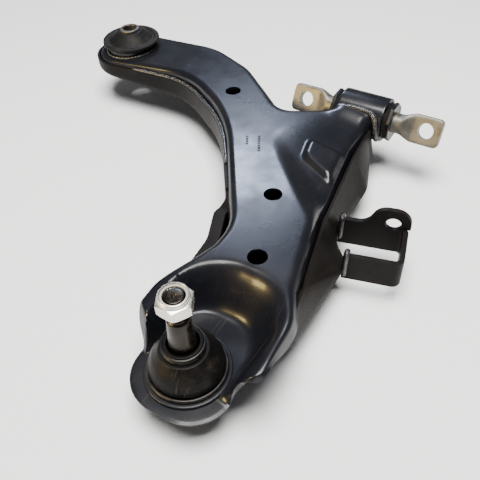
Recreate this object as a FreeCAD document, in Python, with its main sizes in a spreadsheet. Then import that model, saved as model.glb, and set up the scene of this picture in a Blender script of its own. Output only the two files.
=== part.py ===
import FreeCAD, Part
import math
import os
import Sketcher

# Lower control arm: two pressed shells welded into a box, a rear bush with a vertical sleeve,
# a front bush with a through bar, a U strap for a link, and a ball joint at the outboard end.
# Millimetres. Origin: centre of the rear bush. +Y runs along the pivot line to the front bush,
# +X points outboard to the ball joint, +Z is up along the rear sleeve and the ball stud.

Vector = FreeCAD.Vector
ORIGIN = Vector(0, 0, 0)
UP = Vector(0, 0, 1)

doc = FreeCAD.newDocument("control_arm")

# ---------------------------------------------------------------------------------------
# Driving dimensions
# ---------------------------------------------------------------------------------------
SIZES = {
    # layout
    "ball_x": 299.0, "ball_y": 282.0, "ball_z": -34.0, "front_y": 278.0,
    # pressed shells
    "sheet": 2.8, "deck_z": 11.5, "flange_z": -5.0, "draft": 10.0, "dish_r": 37.5,
    "deck_fillet": 6.5, "floor_z": -30.0, "lip_z": -1.0, "dish_z": -22.5,
    "deck_hole_r": 7.45, "rear_slope": 3.0, "rear_slope_y": 138.0,
    "floor_slope": 4.0, "floor_slope_y": 250.0, "drain_hole_r": 12.0,
    "leg_tilt": 8.0, "boss_rise": 4.0, "seam_size": 3.0,
    # rear bush
    "collar_r": 26.5, "collar_bore_r": 23.7, "collar_top": 11.0, "collar_low": -23.0,
    "rear_can_r": 23.69, "rear_can_bore_r": 22.1, "rear_can_low": -22.0, "rear_can_top": 12.0,
    "rear_rim_r": 31.0, "rear_rim_top": 16.6, "rear_cone_r": 15.0, "rear_cone_top": 25.0,
    "rear_sleeve_r": 10.5, "rear_sleeve_bore_r": 6.9, "rear_sleeve_half": 27.5,
    "rear_rubber_low": -20.0, "collar_bead": 2.6, "collar_gap": 0.25,
    # front bush
    "tube_r": 20.0, "tube_bore_r": 17.2, "tube_half": 22.0,
    "front_can_r": 17.19, "front_can_bore_r": 15.8, "front_can_half": 21.0,
    "bar_r": 9.0, "front_rubber_half": 20.0, "bar_neck_half": 33.0,
    "seal_r": 16.8, "seal_len": 3.6, "seal_gap": 0.4, "plate_r": 18.0, "plate_len": 3.2,
    "eye_pitch": 118.4, "eye_r": 7.1, "eye_width": 26.0, "eye_thick": 9.0, "eye_end": 13.5,
    "eye_tilt": 28.0,
    # link strap
    "strap_x": 146.0, "strap_y": 326.0, "strap_turn": 14.5, "strap_half": 21.0,
    "strap_reach": 46.0, "strap_sheet": 4.0, "strap_top": -10.0, "strap_low": -36.0,
    "strap_bend": 9.0, "lug_r": 13.5, "lug_y": 33.0, "lug_z": -7.0,
    "lug_hole_r": 6.1,
    # ball joint
    "ball_r": 15.0, "seat_gap": 0.05, "seat_r": 19.0, "seat_top": -26.0,
    "seat_lip_r": 12.9,
    "house_r": 24.0, "house_low": -53.0, "flange_r": 30.0, "flange_top": -20.2,
    "mouth_r": 17.0, "cover_r": 21.0, "cover_recess": -50.0,
    "boot_ring_r": 26.2, "boot_ring_wire": 1.3, "boot_base_z": -20.0, "boot_top_z": 9.0,
    "boot_top_r": 13.2, "boot_bulge_r": 24.6, "boot_wall": 2.4, "boot_bulge_z": -9.0,
    "neck_ring_r": 14.4, "neck_ring_low": 3.5, "neck_ring_top": 8.6,
    "neck_r": 7.0, "shank_r": 9.3, "shank_z": 4.0, "taper_top": 33.0, "taper_len": 24.0,
    "taper_r": 7.4,
    "thread_r": 6.95, "stud_top": 53.6, "thread_chamfer": 1.2,
    "nut_low": 43.3, "nut_top": 52.0, "nut_flats": 21.0, "nut_turn": 27.3, "nut_collar_r": 9.6,
    "nut_collar_top": 55.2, "nut_bore_r": 7.0, "lock_r": 8.4, "lock_low": 52.2,
}


def make_sheet():
    """The spreadsheet that drives every sub-part."""
    sheet = doc.addObject("Spreadsheet::Sheet", "Sizes")
    for row, (alias, value) in enumerate(SIZES.items(), start=1):
        sheet.set("A%d" % row, alias)
        sheet.set("B%d" % row, repr(value))
        sheet.setAlias("B%d" % row, alias)
    doc.recompute()
    return sheet


sizes = make_sheet()


def size(alias):
    """A driving dimension as a number."""
    return float(sizes.get(alias))


def bind(obj, **formulas):
    """Bind properties to spreadsheet formulas; a bare alias is written without its sheet's name."""
    for prop, formula in formulas.items():
        obj.setExpression(prop.replace("__", "."), sheet_formula(formula))
    return obj


def sheet_formula(formula):
    """Put the sheet's name before each alias in a formula."""
    words = []
    word = ""
    for char in formula + " ":
        if char.isalnum() or char == "_":
            word += char
            continue
        words.append("Sizes." + word if word in SIZES else word)
        words.append(char)
        word = ""
    return "".join(words).strip()


# ---------------------------------------------------------------------------------------
# Small building helpers
# ---------------------------------------------------------------------------------------
def unique(stem):
    """A free internal name for a construction object."""
    count = 1
    while doc.getObject("%s_%d" % (stem, count)):
        count += 1
    return "%s_%d" % (stem, count)


def cylinder(stem, radius, low, top, at=("0", "0")):
    """An upright cylinder between two heights."""
    obj = doc.addObject("Part::Cylinder", unique(stem))
    bind(obj, Radius=radius, Height="(%s) - (%s)" % (top, low), Placement__Base__x=at[0],
         Placement__Base__y=at[1], Placement__Base__z=low)
    return obj


def drill(radius, length, place):
    """A cylinder laid along the z of a place."""
    obj = doc.addObject("Part::Cylinder", unique("drill"))
    obj.Placement = place
    return bind(obj, Radius=radius, Height=length)


def pivot_rod(radius):
    """A rod on the pivot line, longer than the front bush."""
    start = Vector(0, size("front_y") - 70, 0)
    return drill(radius, "140", FreeCAD.Placement(start, FreeCAD.Rotation(Vector(1, 0, 0), -90)))


def joined(kind, base, tool):
    """A boolean of two objects: Cut, Fuse or Common."""
    obj = doc.addObject("Part::" + kind, unique(kind.lower()))
    obj.Base = base
    obj.Tool = tool
    return obj


def cut(base, *tools):
    """Take each tool away from the base."""
    for tool in tools:
        base = joined("Cut", base, tool)
    return base


def fuse(base, *tools):
    """Join each tool to the base."""
    for tool in tools:
        base = joined("Fuse", base, tool)
    return base


def common(base, tool):
    """What two objects share."""
    return joined("Common", base, tool)


def unit(start, end):
    """Direction from one plan point to another."""
    dx = end[0] - start[0]
    dy = end[1] - start[1]
    length = math.hypot(dx, dy)
    return dx / length, dy / length


def grow(corners, distance):
    """A counter-clockwise outline of (x, y, radius) corners moved outwards by a distance."""
    moved = []
    for index, corner in enumerate(corners):
        before = unit(corners[index - 1], corner)
        after = unit(corner, corners[(index + 1) % len(corners)])
        normal = (before[1] + after[1], -before[0] - after[0])
        scale = distance / (1 + before[0] * after[0] + before[1] * after[1])
        convex = before[0] * after[1] - before[1] * after[0] > 0
        radius = corner[2] + (distance if convex else -distance)
        moved.append((corner[0] + normal[0] * scale, corner[1] + normal[1] * scale, max(radius, 0.3)))
    return moved


def corner_arc(before, corner, after):
    """Start, middle and end of the arc that rounds one corner."""
    back = unit(corner, before)
    ahead = unit(corner, after)
    half = math.acos(max(-1.0, min(1.0, back[0] * ahead[0] + back[1] * ahead[1]))) / 2
    reach = corner[2] / math.tan(half)
    centre_way = unit((0, 0), (back[0] + ahead[0], back[1] + ahead[1]))
    middle = corner[2] / math.sin(half) - corner[2]
    points = (back, reach), (centre_way, middle), (ahead, reach)
    return [Vector(corner[0] + way[0] * far, corner[1] + way[1] * far, 0) for way, far in points]


def outline_sketch(stem, corners, height, turn=None):
    """A closed sketch of straight runs and tangent arcs, laid at a height."""
    sketch = doc.addObject("Sketcher::SketchObject", unique(stem))
    arcs = [corner_arc(corners[i - 1], corners[i], corners[(i + 1) % len(corners)])
            for i in range(len(corners))]
    for index, (start, middle, end) in enumerate(arcs):
        last_end = arcs[index - 1][2]
        if last_end.distanceToPoint(start) > 0.001:
            sketch.addGeometry(Part.LineSegment(last_end, start))
        sketch.addGeometry(Part.Arc(start, middle, end))
    if turn:
        sketch.Placement = turn
    else:
        bind(sketch, Placement__Base__z=height)
    return sketch


def raised(sketch, length, taper="0", way=UP):
    """A solid raised from a sketch, with an optional taper."""
    obj = doc.addObject("Part::Extrusion", unique("raised"))
    obj.Base = sketch
    obj.DirMode = "Custom"
    obj.Dir = way
    obj.Solid = True
    bind(obj, LengthFwd=length, TaperAngle=taper)
    return obj


def turned(name, profile, axis="z", at=("0", "0", "0")):
    """A revolved body; each profile corner is a (radius, station) pair of formulas."""
    body = doc.addObject("PartDesign::Body", name)
    sketch = body.newObject("Sketcher::SketchObject", name + "_profile")
    plane = [f for f in body.Origin.OriginFeatures if f.Role == "XZ_Plane"][0]
    sketch.AttachmentSupport = [(plane, "")]
    sketch.MapMode = "FlatFace"
    count = len(profile)
    values = [(formula_value(r), formula_value(z)) for r, z in profile]
    for index in range(count):
        start = Vector(values[index][0], values[index][1], 0)
        end = Vector(*values[(index + 1) % count], 0)
        sketch.addGeometry(Part.LineSegment(start, end))
    for index in range(count):
        nxt = (index + 1) % count
        sketch.addConstraint(Sketcher.Constraint("Coincident", index, 2, nxt, 1))
    for index, (radius, station) in enumerate(profile):
        tie(sketch, "DistanceX", index, values[index][0], radius)
        tie(sketch, "DistanceY", index, values[index][1], station)
    doc.recompute()
    spin = body.newObject("PartDesign::Revolution", name + "_turn")
    spin.Profile = sketch
    spin.ReferenceAxis = (sketch, ["V_Axis"])
    spin.Angle = 360
    stand(body, axis, at)
    return body


def formula_value(formula):
    """The number a spreadsheet formula gives."""
    return float(sizes.evalExpression(sheet_formula(formula)))


def tie(sketch, kind, index, value, formula):
    """Hold one corner's coordinate to a formula; a zero sits on the axis."""
    if abs(value) < 1e-9:
        line = -2 if kind == "DistanceX" else -1
        sketch.addConstraint(Sketcher.Constraint("PointOnObject", index, 1, line))
        return
    number = sketch.addConstraint(Sketcher.Constraint(kind, -1, 1, index, 1, value))
    sketch.setExpression("Constraints[%d]" % number, sheet_formula(formula))


def stand(body, axis, at):
    """Put a revolved body on its axis and place."""
    turns = {"z": FreeCAD.Rotation(), "y": FreeCAD.Rotation(Vector(1, 0, 0), -90)}
    body.Placement = FreeCAD.Placement(ORIGIN, turns[axis])
    bind(body, Placement__Base__x=at[0], Placement__Base__y=at[1], Placement__Base__z=at[2])


def named(obj, name):
    """Label a finished sub-part and keep it for export."""
    obj.Label = name
    finished.append(obj)
    return obj


finished = []


# ---------------------------------------------------------------------------------------
# Pressed shells
# ---------------------------------------------------------------------------------------
# Corners are (x, y, radius), counter-clockwise, at the upper shell's lower edge.
UPPER_PLAN = [
    (-37, -40, 35), (37, -40, 35), (26, 92, 90), (72, 168, 200), (196, 250.5, 50),
    (219, 250.5, 14), (268, 235, 25), (289, 235, 8), (307, 257, 6), (299, 300, 30), (299, 337, 8), (250, 337, 30), (226, 325, 30),
    (145, 304, 60), (60, 291, 40), (8, 291, 2), (8, 262, 2), (41, 212, 18), (-12, 147, 60), (-38, 90, 80),
]
# The lower shell follows the upper one, then widens into a tray inboard of the ball joint.
LOWER_PLAN = [
    (-40, -43, 38), (40, -43, 38), (29, 91, 90), (75, 165, 150), (159, 223, 6),
    (172, 220, 10), (200, 232, 30), (262, 238, 50), (299, 247, 60), (332, 249, 27),
    (332, 315, 31), (285, 319.5, 30), (243, 333, 25), (160, 334, 22), (140, 314, 22),
    (70, 313, 40), (30, 299, 10), (11, 299, 3), (11, 259, 3), (36, 210, 21),
    (-14, 149, 60), (-41, 90, 80),
]
# The recess around the ball joint, at the dish and at the deck: a U that runs out past the end.
RECESS_FOOT = [(250, 251, 27), (400, 251, 3), (400, 314, 3), (250, 314, 27)]
RECESS_MOUTH = [(231, 247, 38), (400, 247, 5), (400, 331, 5), (231, 331, 38)]
# The web between the main limb and the front leg, in its own tilted plane.
WEB_PLAN = [(-90, 0, 3), (0, 0, 12), (31, 75, 60), (46, 110, 1), (-90, 110, 3)]
# The raised patch on the front leg, in the same plane.
BOSS_PLAN = [(-21, 15, 4), (-5, 25, 4), (-2, 57, 4), (-29, 40, 4)]
ROUND_STEPS = 3
# A block this big on every side reaches past the whole arm.
PAST_ARM = 700
HOLES = [(36.6, 155.9), (152.7, 264.8), (216.2, 287.7)]


def web_place(rise):
    """The tilted plane of the front leg's top face, raised by a distance."""
    hinge = FreeCAD.Rotation(UP, -19.6)
    tilt = FreeCAD.Rotation(Vector(1, 0, 0), -size("leg_tilt"))
    turn = hinge.multiply(tilt)
    base = Vector(85, 237, size("deck_z")) + turn.multVec(Vector(0, 0, rise))
    return FreeCAD.Placement(base, turn)


def wedge_cut(base, low_y, height, angle, side):
    """Trim a slope that starts from a line at low_y and runs towards -Y; side +1 trims above it."""
    box = doc.addObject("Part::Box", unique("slope"))
    box.Length = PAST_ARM
    box.Width = PAST_ARM
    box.Height = PAST_ARM
    lift = 0 if side > 0 else -PAST_ARM
    turn = FreeCAD.Rotation(Vector(1, 0, 0), angle)
    corner = Vector(-PAST_ARM / 2, low_y, height) + turn.multVec(Vector(0, -PAST_ARM, lift))
    box.Placement = FreeCAD.Placement(corner, turn)
    return cut(base, box)


def lofted(low_corners, low_z, high_corners, high_z):
    """A straight-sided loft between two outlines."""
    obj = doc.addObject("Part::Loft", unique("loft"))
    obj.Sections = [outline_sketch("foot", low_corners, low_z), outline_sketch("mouth", high_corners, high_z)]
    obj.Solid = True
    obj.Ruled = True
    return obj


def pressed(plan, low, top, skin):
    """A block with a drafted wall and a rounded top edge, built up from lofted outlines."""
    radius = size("deck_fillet") - skin
    lean = math.tan(math.radians(size("draft")))
    wall_top = top - radius
    sections = [(-skin, low), (-skin - lean * (wall_top - size("flange_z")), wall_top)]
    for step in range(1, ROUND_STEPS + 1):
        angle = math.pi / 2 * step / ROUND_STEPS
        drawn_in = sections[1][0] - radius * (1 - math.cos(angle))
        sections.append((drawn_in, wall_top + radius * math.sin(angle)))
    block = doc.addObject("Part::Loft", unique("pressed"))
    block.Sections = [outline_sketch("ring", grow(plan, out), repr(z)) for out, z in sections]
    block.Solid = True
    block.Ruled = True
    return block


def upper_block(inset):
    """The upper shell as a solid block; the inner one is smaller by the sheet all round."""
    skin = size("sheet") if inset else 0.0
    low = size("flange_z") - (1 if inset else 0)
    top = size("deck_z") - skin
    block = pressed(UPPER_PLAN, low, top, skin)
    block = wedge_cut(block, size("rear_slope_y"), top, size("rear_slope"), 1)
    lean = web_place(0).Rotation.multVec(UP)
    web = outline_sketch("web_plan", grow(WEB_PLAN, skin), "0", web_place(-skin))
    block = cut(block, raised(web, "deck_z + 30", "25", lean))
    boss = outline_sketch("boss_plan", grow(BOSS_PLAN, -skin), "0", web_place(-skin - 1))
    return fuse(block, raised(boss, "boss_rise + 1", "-30", lean))


def recess(inset):
    """The recess that the ball joint stands in, grown by the sheet for its outer face."""
    skin = size("sheet") if inset else 0.0
    foot_z = "dish_z - sheet" if inset else "dish_z"
    return lofted(grow(RECESS_FOOT, skin), foot_z, grow(RECESS_MOUTH, skin), "deck_z + 2")


def dish_disc(radius, low, top):
    """An upright disc on the ball joint's axis."""
    return cylinder("disc", radius, low, top, ("ball_x", "ball_y"))


def upper_shell():
    """Deck, rolled edge, front web with its boss, recess wall and dish, with three deck holes."""
    hat = cut(upper_block(False), upper_block(True))
    column = pressed(UPPER_PLAN, size("dish_z") - size("sheet"), size("deck_z"), 0.0)
    space = fuse(column, dish_disc("dish_r", "dish_z - sheet", "dish_z + 1"))
    shell = cut(fuse(hat, common(recess(True), space)), recess(False))
    for x, y in HOLES:
        shell = cut(shell, cylinder("hole", "deck_hole_r", "0", "20", (repr(x), repr(y))))
    shell = cut(shell, dish_disc("house_r + 0.01", "dish_z - 10", "dish_z + 1"))
    shell = cut(shell, cylinder("rear_hole", "collar_r + 0.01", "-20", "20"))
    return named(cut(shell, pivot_rod("tube_r + 0.01")), "upper_shell")


def lower_block(inset):
    """The lower shell as a solid block with a sloping floor; the inner one leaves the sheet."""
    skin = size("sheet") if inset else 0.0
    plan = outline_sketch("lower_plan", grow(LOWER_PLAN, -skin), "floor_z - 10")
    block = raised(plan, "lip_z - floor_z + %d" % (11 if inset else 10), "0")
    return floor_cut(block, size("floor_z") + skin)


def floor_cut(base, floor):
    """Trim below a floor that is level outboard and rises towards the rear bush."""
    level = doc.addObject("Part::Box", unique("floor"))
    level.Length = PAST_ARM
    level.Width = PAST_ARM
    level.Height = PAST_ARM
    level.Placement = FreeCAD.Placement(
        Vector(-PAST_ARM / 2, -PAST_ARM / 2, floor - PAST_ARM), FreeCAD.Rotation())
    return wedge_cut(cut(base, level), size("floor_slope_y"), floor, -size("floor_slope"), -1)


def lower_shell():
    """Tray with upright walls outside the upper shell's edge, holed for the joint and bushes."""
    tray = cut(lower_block(False), lower_block(True))
    tray = cut(tray, dish_disc("house_r + 0.01", "-60", "0"))
    tray = cut(tray, upper_clearance())
    tray = cut(tray, cylinder("rear_hole", "collar_r + 0.01", "-40", "20"))
    tray = cut(tray, cylinder("drain", "drain_hole_r", "-60", "0", ("100", "230")))
    return named(cut(tray, pivot_rod("tube_r + 0.01")), "lower_shell")


def upper_clearance():
    """The space of the upper shell's edge and dish, which the tray's walls stop short of."""
    edge = raised(outline_sketch("edge", grow(UPPER_PLAN, 0.02), "flange_z - 0.02"), "30", "0")
    return fuse(edge, dish_disc("dish_r + 0.02", "dish_z - sheet - 0.02", "20"),
                lofted(grow(RECESS_FOOT, size("sheet") + 0.02), "dish_z - sheet - 0.02",
                       grow(RECESS_MOUTH, size("sheet") + 0.02), "deck_z + 2"))


# ---------------------------------------------------------------------------------------
# Seam welds
# ---------------------------------------------------------------------------------------
# Plan areas that each weld run covers, counter-clockwise.
OUTBOARD_RUN = [(15, 20, 3), (60, 20, 3), (150, 205, 3), (138, 228, 3), (60, 190, 3), (12, 100, 3)]
INBOARD_RUN = [(-70, 20, 3), (-20, 20, 3), (4, 140, 3), (52, 205, 3), (36, 226, 3), (-40, 165, 3)]


def seam_weld(name, run):
    """A fillet bead that lies on the tray's lip against the upper shell's wall."""
    strip = raised(outline_sketch("bead_out", grow(LOWER_PLAN, -0.2), "lip_z"), "seam_size", "-30")
    inner = raised(outline_sketch("bead_in", grow(UPPER_PLAN, 0.01), "lip_z - 1"), "seam_size + 3", "0")
    area = raised(outline_sketch("bead_run", run, "lip_z - 1"), "seam_size + 3", "0")
    return named(cut(common(strip, area), inner), name)


# ---------------------------------------------------------------------------------------
# Rear bush: an upright collar, can, rubber and inner sleeve
# ---------------------------------------------------------------------------------------
def rear_collar():
    """The steel ring that the shells are welded round."""
    return named(turned("collar", [
        ("collar_bore_r", "collar_low"), ("collar_r", "collar_low"),
        ("collar_r", "collar_top"), ("collar_bore_r", "collar_top")]), "rear_bush_collar")


def rear_collar_weld():
    """The bead round the collar where it stands out of the sloping deck."""
    bead = turned("collar_bead", [
        ("collar_r + collar_gap", "0"), ("collar_r + collar_bead", "0"),
        ("collar_r + collar_bead * 0.7", "collar_bead * 0.7"), ("collar_r + collar_gap", "collar_bead")],
        at=("0", "0", "deck_z - rear_slope_y * tan(rear_slope * 1deg)"))
    bead.Placement.Rotation = FreeCAD.Rotation(Vector(1, 0, 0), size("rear_slope"))
    return named(bead, "rear_collar_weld")


def rear_can():
    """The bush's outer can, pressed into the collar."""
    return named(turned("can", [
        ("rear_can_bore_r", "rear_can_low"), ("rear_can_r", "rear_can_low"),
        ("rear_can_r", "rear_can_top"), ("rear_can_bore_r", "rear_can_top")]), "rear_bush_can")


def rear_rubber():
    """Rubber bonded in the can, with a rim over it and a cone up to the sleeve."""
    return named(turned("rubber", [
        ("rear_sleeve_r + 0.05", "rear_rubber_low"), ("rear_can_bore_r", "rear_rubber_low"),
        ("rear_can_bore_r", "rear_can_top"), ("rear_rim_r - 1", "rear_can_top"),
        ("rear_rim_r", "rear_can_top + 1.2"), ("rear_rim_r", "rear_rim_top - 1"),
        ("rear_rim_r - 1", "rear_rim_top"), ("rear_rim_r - 4", "rear_rim_top"),
        ("rear_rim_r - 6", "rear_rim_top - 1.5"), ("rear_cone_r", "rear_cone_top - 2"),
        ("rear_cone_r - 1.5", "rear_cone_top"), ("rear_sleeve_r + 0.05", "rear_cone_top")]),
        "rear_bush_rubber")


def rear_sleeve():
    """The thick inner sleeve that the upright bolt goes through."""
    return named(turned("sleeve", [
        ("rear_sleeve_bore_r", "-rear_sleeve_half"), ("rear_sleeve_r - 0.8", "-rear_sleeve_half"),
        ("rear_sleeve_r", "-rear_sleeve_half + 0.8"), ("rear_sleeve_r", "rear_sleeve_half - 0.8"),
        ("rear_sleeve_r - 0.8", "rear_sleeve_half"), ("rear_sleeve_bore_r", "rear_sleeve_half")]),
        "rear_bush_sleeve")


# ---------------------------------------------------------------------------------------
# Front bush: a lying tube, can, rubber and the through bar with its two eyes
# ---------------------------------------------------------------------------------------
FRONT = ("0", "front_y", "0")


def lying_ring(name, bore, outside, low, high):
    """A ring on the pivot line between two stations from the front bush's centre."""
    return turned(name, [(bore, low), (outside, low), (outside, high), (bore, high)], "y", FRONT)


def front_tube():
    """The tube that the front leg is welded to."""
    return named(lying_ring("tube", "tube_bore_r", "tube_r", "-tube_half", "tube_half"), "front_bush_tube")


def front_tube_weld(upper):
    """The bead along the tube where the front leg's deck meets it."""
    bead = doc.addObject("Part::Cylinder", unique("bead"))
    bind(bead, Radius="seam_size + 0.6", Height="tube_half * 2 - 12", Placement__Base__x="tube_r - 1",
         Placement__Base__y="front_y - tube_half + 4", Placement__Base__z="9")
    bead.Placement.Rotation = FreeCAD.Rotation(Vector(1, 0, 0), -90)
    above = raised(outline_sketch("bead_cap", [(5, 200, 1), (60, 200, 1), (60, 320, 1), (5, 320, 1)],
                                  "deck_z - 3.4"), "20")
    return named(cut(common(bead, above), pivot_rod("tube_r + 0.01"), upper), "front_tube_weld")


def front_can():
    """The front bush's outer can, pressed into the tube."""
    return named(lying_ring("front_can", "front_can_bore_r", "front_can_r", "-front_can_half",
                            "front_can_half"), "front_bush_can")


def front_rubber():
    """Rubber between the can and the bar."""
    return named(lying_ring("front_rubber", "bar_r + 0.05", "front_can_bore_r", "-front_rubber_half",
                            "front_rubber_half"), "front_bush_rubber")


def front_bar():
    """A round bar through the bush, forged flat into a bolt eye at each end."""
    core = turned("bar", [("0", "-bar_neck_half"), ("bar_r", "-bar_neck_half"),
                          ("bar_r", "bar_neck_half"), ("0", "bar_neck_half")], "y", FRONT)
    return named(fuse(core, bar_eye(1), bar_eye(-1)), "front_bush_bar")


def bar_eye(side):
    """One flat eye with its bolt hole; side is +1 forward and -1 rearward."""
    half = size("eye_width") / 2
    pitch = size("eye_pitch") / 2
    neck = size("bar_neck_half") - 4
    end = pitch + size("eye_end")
    plan = [(-half, end, 4), (-half, pitch - 12, 14), (-size("bar_r"), neck, 2),
            (size("bar_r"), neck, 2), (half, pitch - 12, 14), (half, end, 4)]
    flat = FreeCAD.Rotation(Vector(0, 1, 0), 90 - size("eye_tilt"))
    spin = FreeCAD.Rotation(Vector(0, 1, 0), 0) if side > 0 else FreeCAD.Rotation(Vector(0, 0, 1), 180)
    turn = flat.multiply(spin)
    base = Vector(0, size("front_y"), 0) + turn.multVec(Vector(0, 0, -size("eye_thick") / 2))
    plate = raised(outline_sketch("eye", plan, "0", FreeCAD.Placement(base, turn)), "eye_thick", "0",
                   turn.multVec(UP))
    middle = Vector(0, size("front_y"), 0) + turn.multVec(Vector(0, pitch, -30))
    return cut(plate, drill("eye_r", "60", FreeCAD.Placement(middle, turn)))


def bar_seal(name, side):
    """A rubber washer between the tube's end and the bar's plate."""
    near = "tube_half + seal_gap"
    ends = [near, near + " + seal_len"]
    low, high = ends if side > 0 else ["-(%s)" % end for end in reversed(ends)]
    return named(lying_ring(name, "bar_r", "seal_r", low, high), name)


def bar_plate(name, side):
    """An eight-sided steel plate that closes the bush's end."""
    prism = doc.addObject("Part::Prism", unique("plate"))
    prism.Polygon = 8
    bind(prism, Circumradius="plate_r", Height="plate_len")
    start = size("tube_half") + size("seal_gap") + size("seal_len")
    if side < 0:
        start = -start - size("plate_len")
    turn = FreeCAD.Rotation(Vector(1, 0, 0), -90).multiply(FreeCAD.Rotation(UP, 22.5))
    prism.Placement = FreeCAD.Placement(Vector(0, size("front_y") + start, 0), turn)
    return named(cut(prism, pivot_rod("bar_r")), name)


# ---------------------------------------------------------------------------------------
# Link strap: a U with one raised lug
# ---------------------------------------------------------------------------------------
def strap_place(x=0.0, y=0.0, z=0.0, extra=None):
    """A place in the strap's own frame: x across the U, y away from the arm."""
    turn = FreeCAD.Rotation(UP, size("strap_turn"))
    base = Vector(size("strap_x"), size("strap_y"), 0) + turn.multVec(Vector(x, y, z))
    return FreeCAD.Placement(base, turn.multiply(extra) if extra else turn)


def link_strap():
    """The bent strap, cut to the tray's wall, with a lug above its inboard leg."""
    half = size("strap_half")
    reach = size("strap_reach")
    bend = size("strap_bend")
    outside = [(-half, -14, 1), (half, -14, 1), (half, reach, bend), (-half, reach, bend)]
    thick = size("strap_sheet")
    inside = [(-half + thick, -30, 1), (half - thick, -30, 1), (half - thick, reach - thick, bend - thick),
              (-half + thick, reach - thick, bend - thick)]
    low = strap_place(z=size("strap_low"))
    tall = "strap_top - strap_low"
    strap = raised(outline_sketch("strap_out", outside, "0", low), tall, "0")
    strap = cut(strap, raised(outline_sketch("strap_in", inside, "0", low), tall, "0"))
    strap = fuse(strap, lug_plate())
    hole = drill("lug_hole_r", "20", strap_place(-half - 8, size("lug_y"), size("lug_z"), side_turn()))
    block = raised(outline_sketch("tray", grow(LOWER_PLAN, 0.02), "-60"), "80", "0")
    return named(cut(strap, hole, block), "link_strap")


def side_turn():
    """Turns a plan outline so that its x runs along the leg, its y up and its rise across."""
    return FreeCAD.Rotation(Vector(0, 1, 0), Vector(0, 0, 1), Vector(1, 0, 0), "XYZ")


def lug_plate():
    """The lug's flat plate, standing above the inboard leg."""
    y = size("lug_y")
    z = size("lug_z")
    r = size("lug_r")
    top = size("strap_top")
    plan = [(y - r - 10, top - 6, 1), (y + r, top - 6, 1), (y + r, z + r, r - 0.5),
            (y - r + 2, z + r, r - 0.5), (y - r - 8, top, 8)]
    place = strap_place(-size("strap_half"), 0, 0, side_turn())
    return raised(outline_sketch("lug", plan, "0", place), "strap_sheet", "0", place.Rotation.multVec(UP))


def strap_weld(name, x, strap):
    """An upright bead where one leg meets the tray's wall."""
    bead = doc.addObject("Part::Cylinder", unique("bead"))
    bind(bead, Radius="seam_size", Height="18")
    wall_y = 8.5 if x > 0 else -5.5
    bead.Placement = strap_place(x, wall_y, size("floor_z") + 1)
    block = raised(outline_sketch("tray", grow(LOWER_PLAN, 0.02), "-60"), "80", "0")
    return named(cut(bead, strap, block), name)


# ---------------------------------------------------------------------------------------
# Ball joint
# ---------------------------------------------------------------------------------------
BALL = ("ball_x", "ball_y", "0")


def joint_housing():
    """Flanged cup that hangs through the dish and the tray, open at both ends."""
    return named(turned("housing", [
        ("mouth_r", "seat_top"), ("mouth_r + 2", "flange_top"), ("flange_r", "flange_top"),
        ("flange_r", "dish_z + 0.01"), ("house_r", "dish_z + 0.01"), ("house_r", "house_low"),
        ("cover_r + 0.01", "house_low"), ("cover_r + 0.01", "cover_recess"),
        ("seat_r + 0.01", "cover_recess"), ("seat_r + 0.01", "seat_top")], at=BALL),
        "ball_joint_housing")


def joint_cover():
    """The plate rolled into the housing's lower end."""
    return named(turned("cover", [
        ("0", "house_low"), ("cover_r", "house_low"), ("cover_r", "cover_recess"),
        ("0", "cover_recess")], at=BALL), "ball_joint_cover")


def ball_seat():
    """The plastic seat round the ball, with a grease pocket under it."""
    block = turned("seat", [
        ("5", "cover_recess + 0.01"), ("seat_r", "cover_recess + 0.01"), ("seat_r", "seat_top - 0.01"),
        ("5", "seat_top - 0.01")], at=BALL)
    return named(cut(block, ball("ball_r + seat_gap"), dish_disc("seat_lip_r", "ball_z", "0")), "ball_seat")


def ball(radius):
    """A sphere on the ball joint's centre."""
    obj = doc.addObject("Part::Sphere", unique("ball"))
    return bind(obj, Radius=radius, Placement__Base__x="ball_x", Placement__Base__y="ball_y",
                Placement__Base__z="ball_z")


def ball_stud():
    """Ball, neck, boot land, taper and threaded end."""
    shank = turned("shank", [
        ("0", "ball_z"), ("neck_r", "ball_z"), ("neck_r", "boot_base_z + 14"), ("shank_r", "shank_z"),
        ("shank_r", "taper_top - taper_len"), ("taper_r", "taper_top"), ("thread_r", "taper_top + 2"),
        ("thread_r", "stud_top - thread_chamfer"), ("thread_r - thread_chamfer", "stud_top"),
        ("0", "stud_top")], at=BALL)
    return named(fuse(ball("ball_r"), shank), "ball_stud")


def boot_base_ring():
    """The spring ring that holds the boot's foot on the housing."""
    ring = doc.addObject("Part::Torus", unique("ring"))
    bind(ring, Radius1="boot_ring_r", Radius2="boot_ring_wire", Placement__Base__x="ball_x",
         Placement__Base__y="ball_y", Placement__Base__z="boot_base_z + boot_ring_wire + 0.2")
    return named(ring, "boot_base_ring")


def dust_boot():
    """The rubber bellows between the housing and the stud's land."""
    foot = "boot_ring_r - boot_ring_wire - 0.2"
    return named(turned("boot", [
        (foot + " - boot_wall", "boot_base_z"), (foot, "boot_base_z"), (foot, "boot_base_z + 3.2"),
        ("boot_bulge_r + 0.6", "boot_base_z + 4.6"), ("boot_bulge_r", "boot_bulge_z"),
        ("boot_bulge_r - 4.4", "boot_bulge_z + 7"), ("boot_top_r + 1.4", "neck_ring_low - 0.6"),
        ("boot_top_r", "neck_ring_low - 0.2"), ("boot_top_r", "boot_top_z"),
        ("shank_r + 0.1", "boot_top_z"), ("shank_r + 0.1", "shank_z"),
        ("boot_top_r + 1 - boot_wall", "neck_ring_low - 2.6"),
        ("boot_bulge_r - 4.4 - boot_wall", "boot_bulge_z + 5.4"),
        ("boot_bulge_r - boot_wall", "boot_bulge_z - 0.6"),
        ("boot_bulge_r - boot_wall", "boot_base_z + 4.6")], at=BALL), "dust_boot")


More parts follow.
